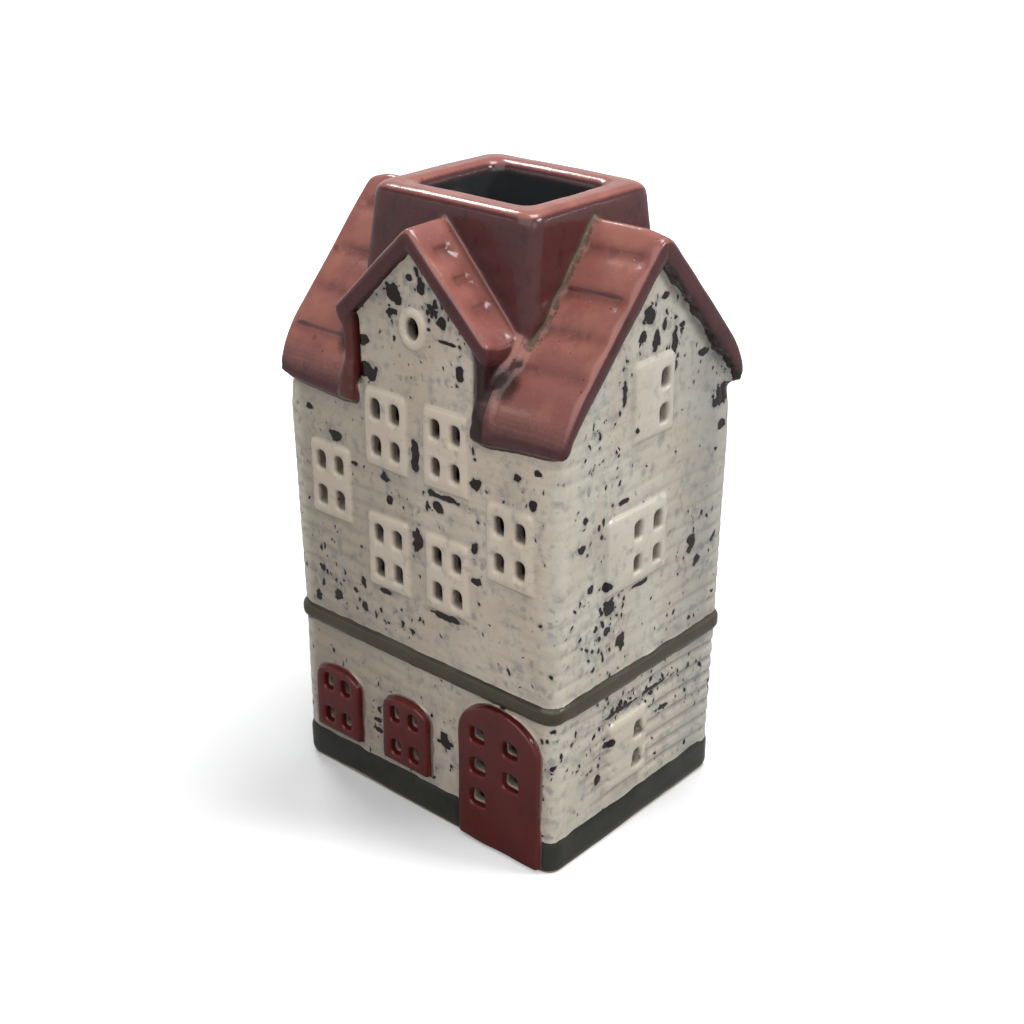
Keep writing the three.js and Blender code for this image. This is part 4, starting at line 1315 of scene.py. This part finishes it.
def crawled_white(tree, colour, on_side, raised, clouded, crawled):
    # Painted light here too: the crest is warmer on the front than on the sides.
    crest = blend(tree, on_side, FRONT_CREST_WARM_LIT, SIDE_CREST_COOL_LIT)
    colour = layer(tree, colour, step(tree, raised, 0.02, 0.34, 0.0, 0.42), crest)
    colour = layer(tree, colour, crawled["Veil"], BLUISH_VEIL, 0.5)
    edge = times(tree, crawled["Thin Edge"], step(tree, clouded["Fine"], 0.25, 0.6, 0.2, 0.6))
    colour = layer(tree, colour, edge, BLUISH_EDGE)
    colour = layer(tree, colour, step(tree, clouded["Fine"], 0.66, 0.74, 0.0, 0.3), BROWN_SPECK)
    clay = blend(tree, step(tree, clouded["Fine"], 0.45, 0.7), DARK_CLAY, LIGHT_CLAY)
    return layer(tree, colour, crawled["Bare"], clay)


print("white glaze is laid in two rounds")


# %% White glaze: the whole material
def white_glaze(name, shade_and_mottle):
    tree, shader, place = new_glaze(name, 0.1)
    x = split_up(tree, place)[0]
    on_side = step(tree, size_of(tree, x), HALF_W - 4.0, HALF_W - 0.5)
    raised = attribute(tree, "raised")
    clouded = use(tree, cloud, {"Place": place, "Size": 13.0, "Raised": raised})
    crawled = use(tree, crawl, {"Place": place, "Amount": attribute(tree, "spotted"),
                                "Patch": attribute(tree, "patch"), "Shape": SPOT_SHAPE})
    colour = shaded_white(tree, place, on_side, clouded, shade_and_mottle)
    colour = crawled_white(tree, colour, on_side, raised, clouded, crawled)
    colour = layer(tree, colour, into_the_wall(tree, place, 0.2, 0.9), PANE_SIDE, 0.8)
    on_left_half = step(tree, x, -19.0, -21.0, 0.0, 1.6)
    deeper = larger(tree, times(tree, on_side, 1.8), on_left_half)
    colour = layer(tree, colour, into_the_wall(tree, place, 1.2, 2.6, deeper), SMOKED_WHITE)
    rippled = use(tree, ripple, {"Place": place, "Ripple": 0.5, "Pits": 0.4, "Hollow": crawled["Bare"]})
    finish_surface(tree, shader, colour, rippled["Height"], 0.16)


white_glaze("wall_glaze", 1.0)
white_glaze("frame_glaze", 0.8)
print("white glazes ready")

# %% [markdown]
# ## Roof glaze
#
# The same glaze comes out pink-brown where it lies thick on the slopes, and thin and dark maroon
# where it hangs down on boards, cheeks and chimney. So the direction a surface faces chooses between
# two paints. The seam round the chimney is worn to the bare clay, and the flue is sooty.

# %% Paints of the roof glaze
WARM_PINK = paint(148, 94, 82)
THIN_PINK = paint(112, 68, 64)
JOINT_BROWN = paint(92, 54, 50)
EAVE_MAROON = paint(92, 48, 46)
PALE_GRAIN = paint(186, 128, 114)
DOT_BROWN = paint(104, 56, 46)
CHEEK_RED_AND_PAINTED_LIGHT = paint(102, 47, 43)
# Painted shade for the pockets beside the cross gable.
POCKET_SHADE = paint(46, 30, 30)
PIT_BROWN = paint(66, 38, 32)
WORN_CLAY = paint(72, 58, 40)
SOOT = paint(48, 50, 52)
SLOPE_PAINTS = (paint(136, 83, 76), paint(82, 42, 42), paint(62, 33, 34))
BOARD_PAINTS = (paint(92, 49, 46), paint(47, 25, 25), paint(38, 21, 21))
print("slopes are", round(SLOPE_PAINTS[0][0] / SLOPE_PAINTS[1][0], 1), "times as light as the chimney")


# %% Roof glaze: on the slopes, and hanging down
def lying_colour(tree, place, lying_paint, clouded):
    """Pink-brown with darker joints between the tiles, a darker eave, pale grain and brown dots."""
    colour = blend(tree, clouded["Warm"], lying_paint, WARM_PINK)
    colour = layer(tree, colour, clouded["Thin"], THIN_PINK, 0.45)
    joint_strength = step(tree, clouded["Thin"], 0.0, 0.6, 0.35, 0.65)
    colour = layer(tree, colour, times(tree, attribute(tree, "joint"), joint_strength), JOINT_BROWN)
    low_down = plus(tree, split_up(tree, place)[2], times(tree, clouded["Fine"], 3.0))
    colour = layer(tree, colour, step(tree, low_down, 109.0, 105.0, 0.0, 0.5), EAVE_MAROON)
    colour = layer(tree, colour, step(tree, clouded["Fine"], 0.6, 0.74, 0.0, 0.35), PALE_GRAIN)
    distance, chances = cells(tree, place, 0.21)
    dot_radius = step(tree, chances[1], 0.5, 1.0, 0.0, 0.2)
    dots = step(tree, minus(tree, dot_radius, distance), -0.02, 0.09, 0.0, 0.7)
    return layer(tree, colour, dots, DOT_BROWN)


def hanging_colour(tree, place, thick_paint, thin_paint, clouded):
    """Dark maroon, with a lighter red on the left cheek of the cross gable: partly the cheek's redder
    glaze, partly painted light on its inner face, which lies in shade.
    """
    x, _, z = split_up(tree, place)
    colour = blend(tree, clouded["Thin"], thick_paint, thin_paint)
    # Painted light lifts the left cheek's inner face, which lies in shade; the cheek's glaze is also
    # redder.
    cheek_red_and_light = times(tree, step(tree, x, -15.8, -16.8), step(tree, x, -22.6, -21.6))
    cheek_red_and_light = times(tree, cheek_red_and_light, step(tree, z, 124.0, 119.0, 0.0, 0.75))
    return layer(tree, colour, cheek_red_and_light, CHEEK_RED_AND_PAINTED_LIGHT)


print("roof glaze has two colours")

# %% Roof glaze: where it lies, and painted shade in the pockets beside the cross gable
RIM_START = 145.8
RIM_TOP = 146.8
POCKET_MIDDLE = (23.6, 28.6, 115.2)
POCKET_SHAPE = (0.3, 0.24, 0.24)


def lying_mask(tree, place, fine):
    """1 where the surface faces up, less so on the chimney's rim."""
    normal = put(tree, "ShaderNodeNewGeometry").outputs["Normal"]
    facing_up = split_up(tree, normal)[2]
    uneven = times(tree, minus(tree, fine, 0.5), 0.12)
    on_rim = step(tree, split_up(tree, place)[2], RIM_START, RIM_TOP, 0.0, 0.34)
    lying = step(tree, minus(tree, plus(tree, facing_up, uneven), on_rim), 0.2, 0.48)
    return lying, facing_up


def painted_pocket_shade(tree, place, fine):
    """1 in the corners where the cross gable meets the front slopes, the same left and right: painted
    shade there.
    """
    folded = put(tree, "ShaderNodeVectorMath", {0: place}, operation="ABSOLUTE").outputs[0]
    from_middle = moved(tree, folded, [-v for v in POCKET_MIDDLE])
    away = length_of(tree, scaled(tree, from_middle, POCKET_SHAPE))
    away = plus(tree, away, times(tree, fine, 0.4))
    in_front = step(tree, split_up(tree, place)[1], -10.0, -20.0)
    return times(tree, step(tree, away, 1.4, 0.7, 0.0, 0.85), in_front)


print("pockets at", POCKET_MIDDLE, "mm from the middle")

# %% Roof glaze: the worn seam and the sooty flue
FLUE_X = (18.4, 16.2)
FLUE_Y = (15.6, 13.4)
SOOT_TOP = (149.4, 146.8)


def worn_mask(tree, place, at_seam):
    """Ragged wear along the seam round the chimney, mostly on the right."""
    ragged = times(tree, noise(tree, place, 0.9, 4.0, 0.75), 1.7)
    worn = step(tree, plus(tree, at_seam, ragged), 1.44, 1.58)
    return times(tree, worn, step(tree, split_up(tree, place)[0], 12.0, 24.0, 0.25, 0.9))


def soot_mask(tree, place, fine, facing_up):
    """1 inside the flue and on the underside of the roof."""
    x, y, z = split_up(tree, place)
    in_flue_x = step(tree, size_of(tree, x), *FLUE_X)
    in_flue_y = step(tree, size_of(tree, y), *FLUE_Y)
    down = step(tree, plus(tree, z, times(tree, fine, 2.5)), *SOOT_TOP)
    flue = times(tree, times(tree, in_flue_x, in_flue_y), down)
    underside = times(tree, step(tree, facing_up, -0.3, -0.6), into_the_wall(tree, place, 2.4, 4.2))
    return larger(tree, flue, underside)


print("soot up to", SOOT_TOP[1], "mm")


# %% Roof glaze: the whole material
def roof_glaze(name, paints, roughness):
    tree, shader, place = new_glaze(name, roughness)
    raised = attribute(tree, "raised")
    clouded = use(tree, cloud, {"Place": place, "Size": 9.0, "Raised": raised})
    fine = clouded["Fine"]
    rippled = use(tree, ripple, {"Place": place, "Ripple": 0.6, "Pits": 1.0, "Hollow": 0.0})
    at_seam = attribute(tree, "seam")
    lying, facing_up = lying_mask(tree, place, fine)
    hanging = hanging_colour(tree, place, paints[1], paints[2], clouded)
    colour = blend(tree, lying, hanging, lying_colour(tree, place, paints[0], clouded))
    # Painted shade in the pockets where the cross gable meets the front slopes.
    colour = layer(tree, colour, painted_pocket_shade(tree, place, fine), POCKET_SHADE)
    colour = layer(tree, colour, rippled["Pit"], PIT_BROWN, 0.75)
    colour = layer(tree, colour, worn_mask(tree, place, at_seam), WORN_CLAY)
    colour = layer(tree, colour, soot_mask(tree, place, fine, facing_up), SOOT)
    dull = step(tree, at_seam, 0.3, 0.8, roughness, 0.5)
    finish_surface(tree, shader, colour, rippled["Height"], 0.12, dull)


roof_glaze("roof_glaze", SLOPE_PAINTS, 0.2)
roof_glaze("barge_glaze", BOARD_PAINTS, 0.14)
print("roof glazes ready")

# %% [markdown]
# ## Red, olive and green glazes
#
# The door and the arched windows are red, the string course olive, the plinth nearly black green, and
# the foot is unglazed clay. All of them are plain glazes that wear lighter on raised edges, so one
# function with different paints is enough. The panes of the red pieces are cut in the white wall, so
# these have a paler colour from a little way in.

# %% Red, olive and green glazes: the material
PANE_WHITE = paint(140, 128, 112)
SMOKED = paint(26, 26, 27)
PANE_START = HALF_D + 0.6


def plain_glaze(name, body, darker, lighter, roughness, pane=0.0):
    tree, shader, place = new_glaze(name, roughness)
    raised = attribute(tree, "raised")
    clouded = use(tree, cloud, {"Place": place, "Size": 8.0, "Raised": raised})
    colour = blend(tree, clouded["Thin"], body, darker)
    colour = layer(tree, colour, clouded["Warm"], lighter, 0.35)
    colour = layer(tree, colour, step(tree, raised, 0.1, 0.36, 0.0, 0.5), lighter)
    colour = layer(tree, colour, step(tree, clouded["Fine"], 0.68, 0.76, 0.0, 0.5), lighter)
    behind_face = minus(tree, PANE_START, size_of(tree, split_up(tree, place)[1]))
    colour = layer(tree, colour, step(tree, behind_face, 0.0, 0.6), PANE_WHITE, pane)
    colour = layer(tree, colour, into_the_wall(tree, place, 0.6, 2.4), SMOKED)
    rippled = use(tree, ripple, {"Place": place, "Ripple": 0.6, "Pits": 0.5, "Hollow": 0.0})
    finish_surface(tree, shader, colour, rippled["Height"], 0.12)


plain_glaze("red_glaze", paint(78, 16, 14), paint(54, 12, 11), paint(96, 28, 25), 0.14, 0.75)
plain_glaze("course_glaze", paint(50, 46, 35), paint(38, 37, 31), paint(82, 74, 54), 0.2)
plain_glaze("plinth_glaze", paint(33, 35, 29), paint(24, 27, 23), paint(58, 60, 50), 0.2)
plain_glaze("foot_clay", paint(178, 156, 130), paint(150, 130, 108), paint(196, 176, 150), 0.75)
print(len(glazes), "glazes ready")

# %% Give each piece its glaze
SLOTS = {
    "wall_glaze": WALLS[1:],
    "frame_glaze": FRAMES,
    "roof_glaze": SLOPES + ["chimney"],
    "barge_glaze": BOARDS + CHEEKS,
    "red_glaze": RED_PIECES,
    "course_glaze": ["string_course"],
    "plinth_glaze": ["plinth_band"],
    "foot_clay": ["floor_slab"],
}
for slot, names in SLOTS.items():
    for name in names:
        pieces[name].data.materials.append(glazes[slot])
print({slot: len(names) for slot, names in SLOTS.items()})
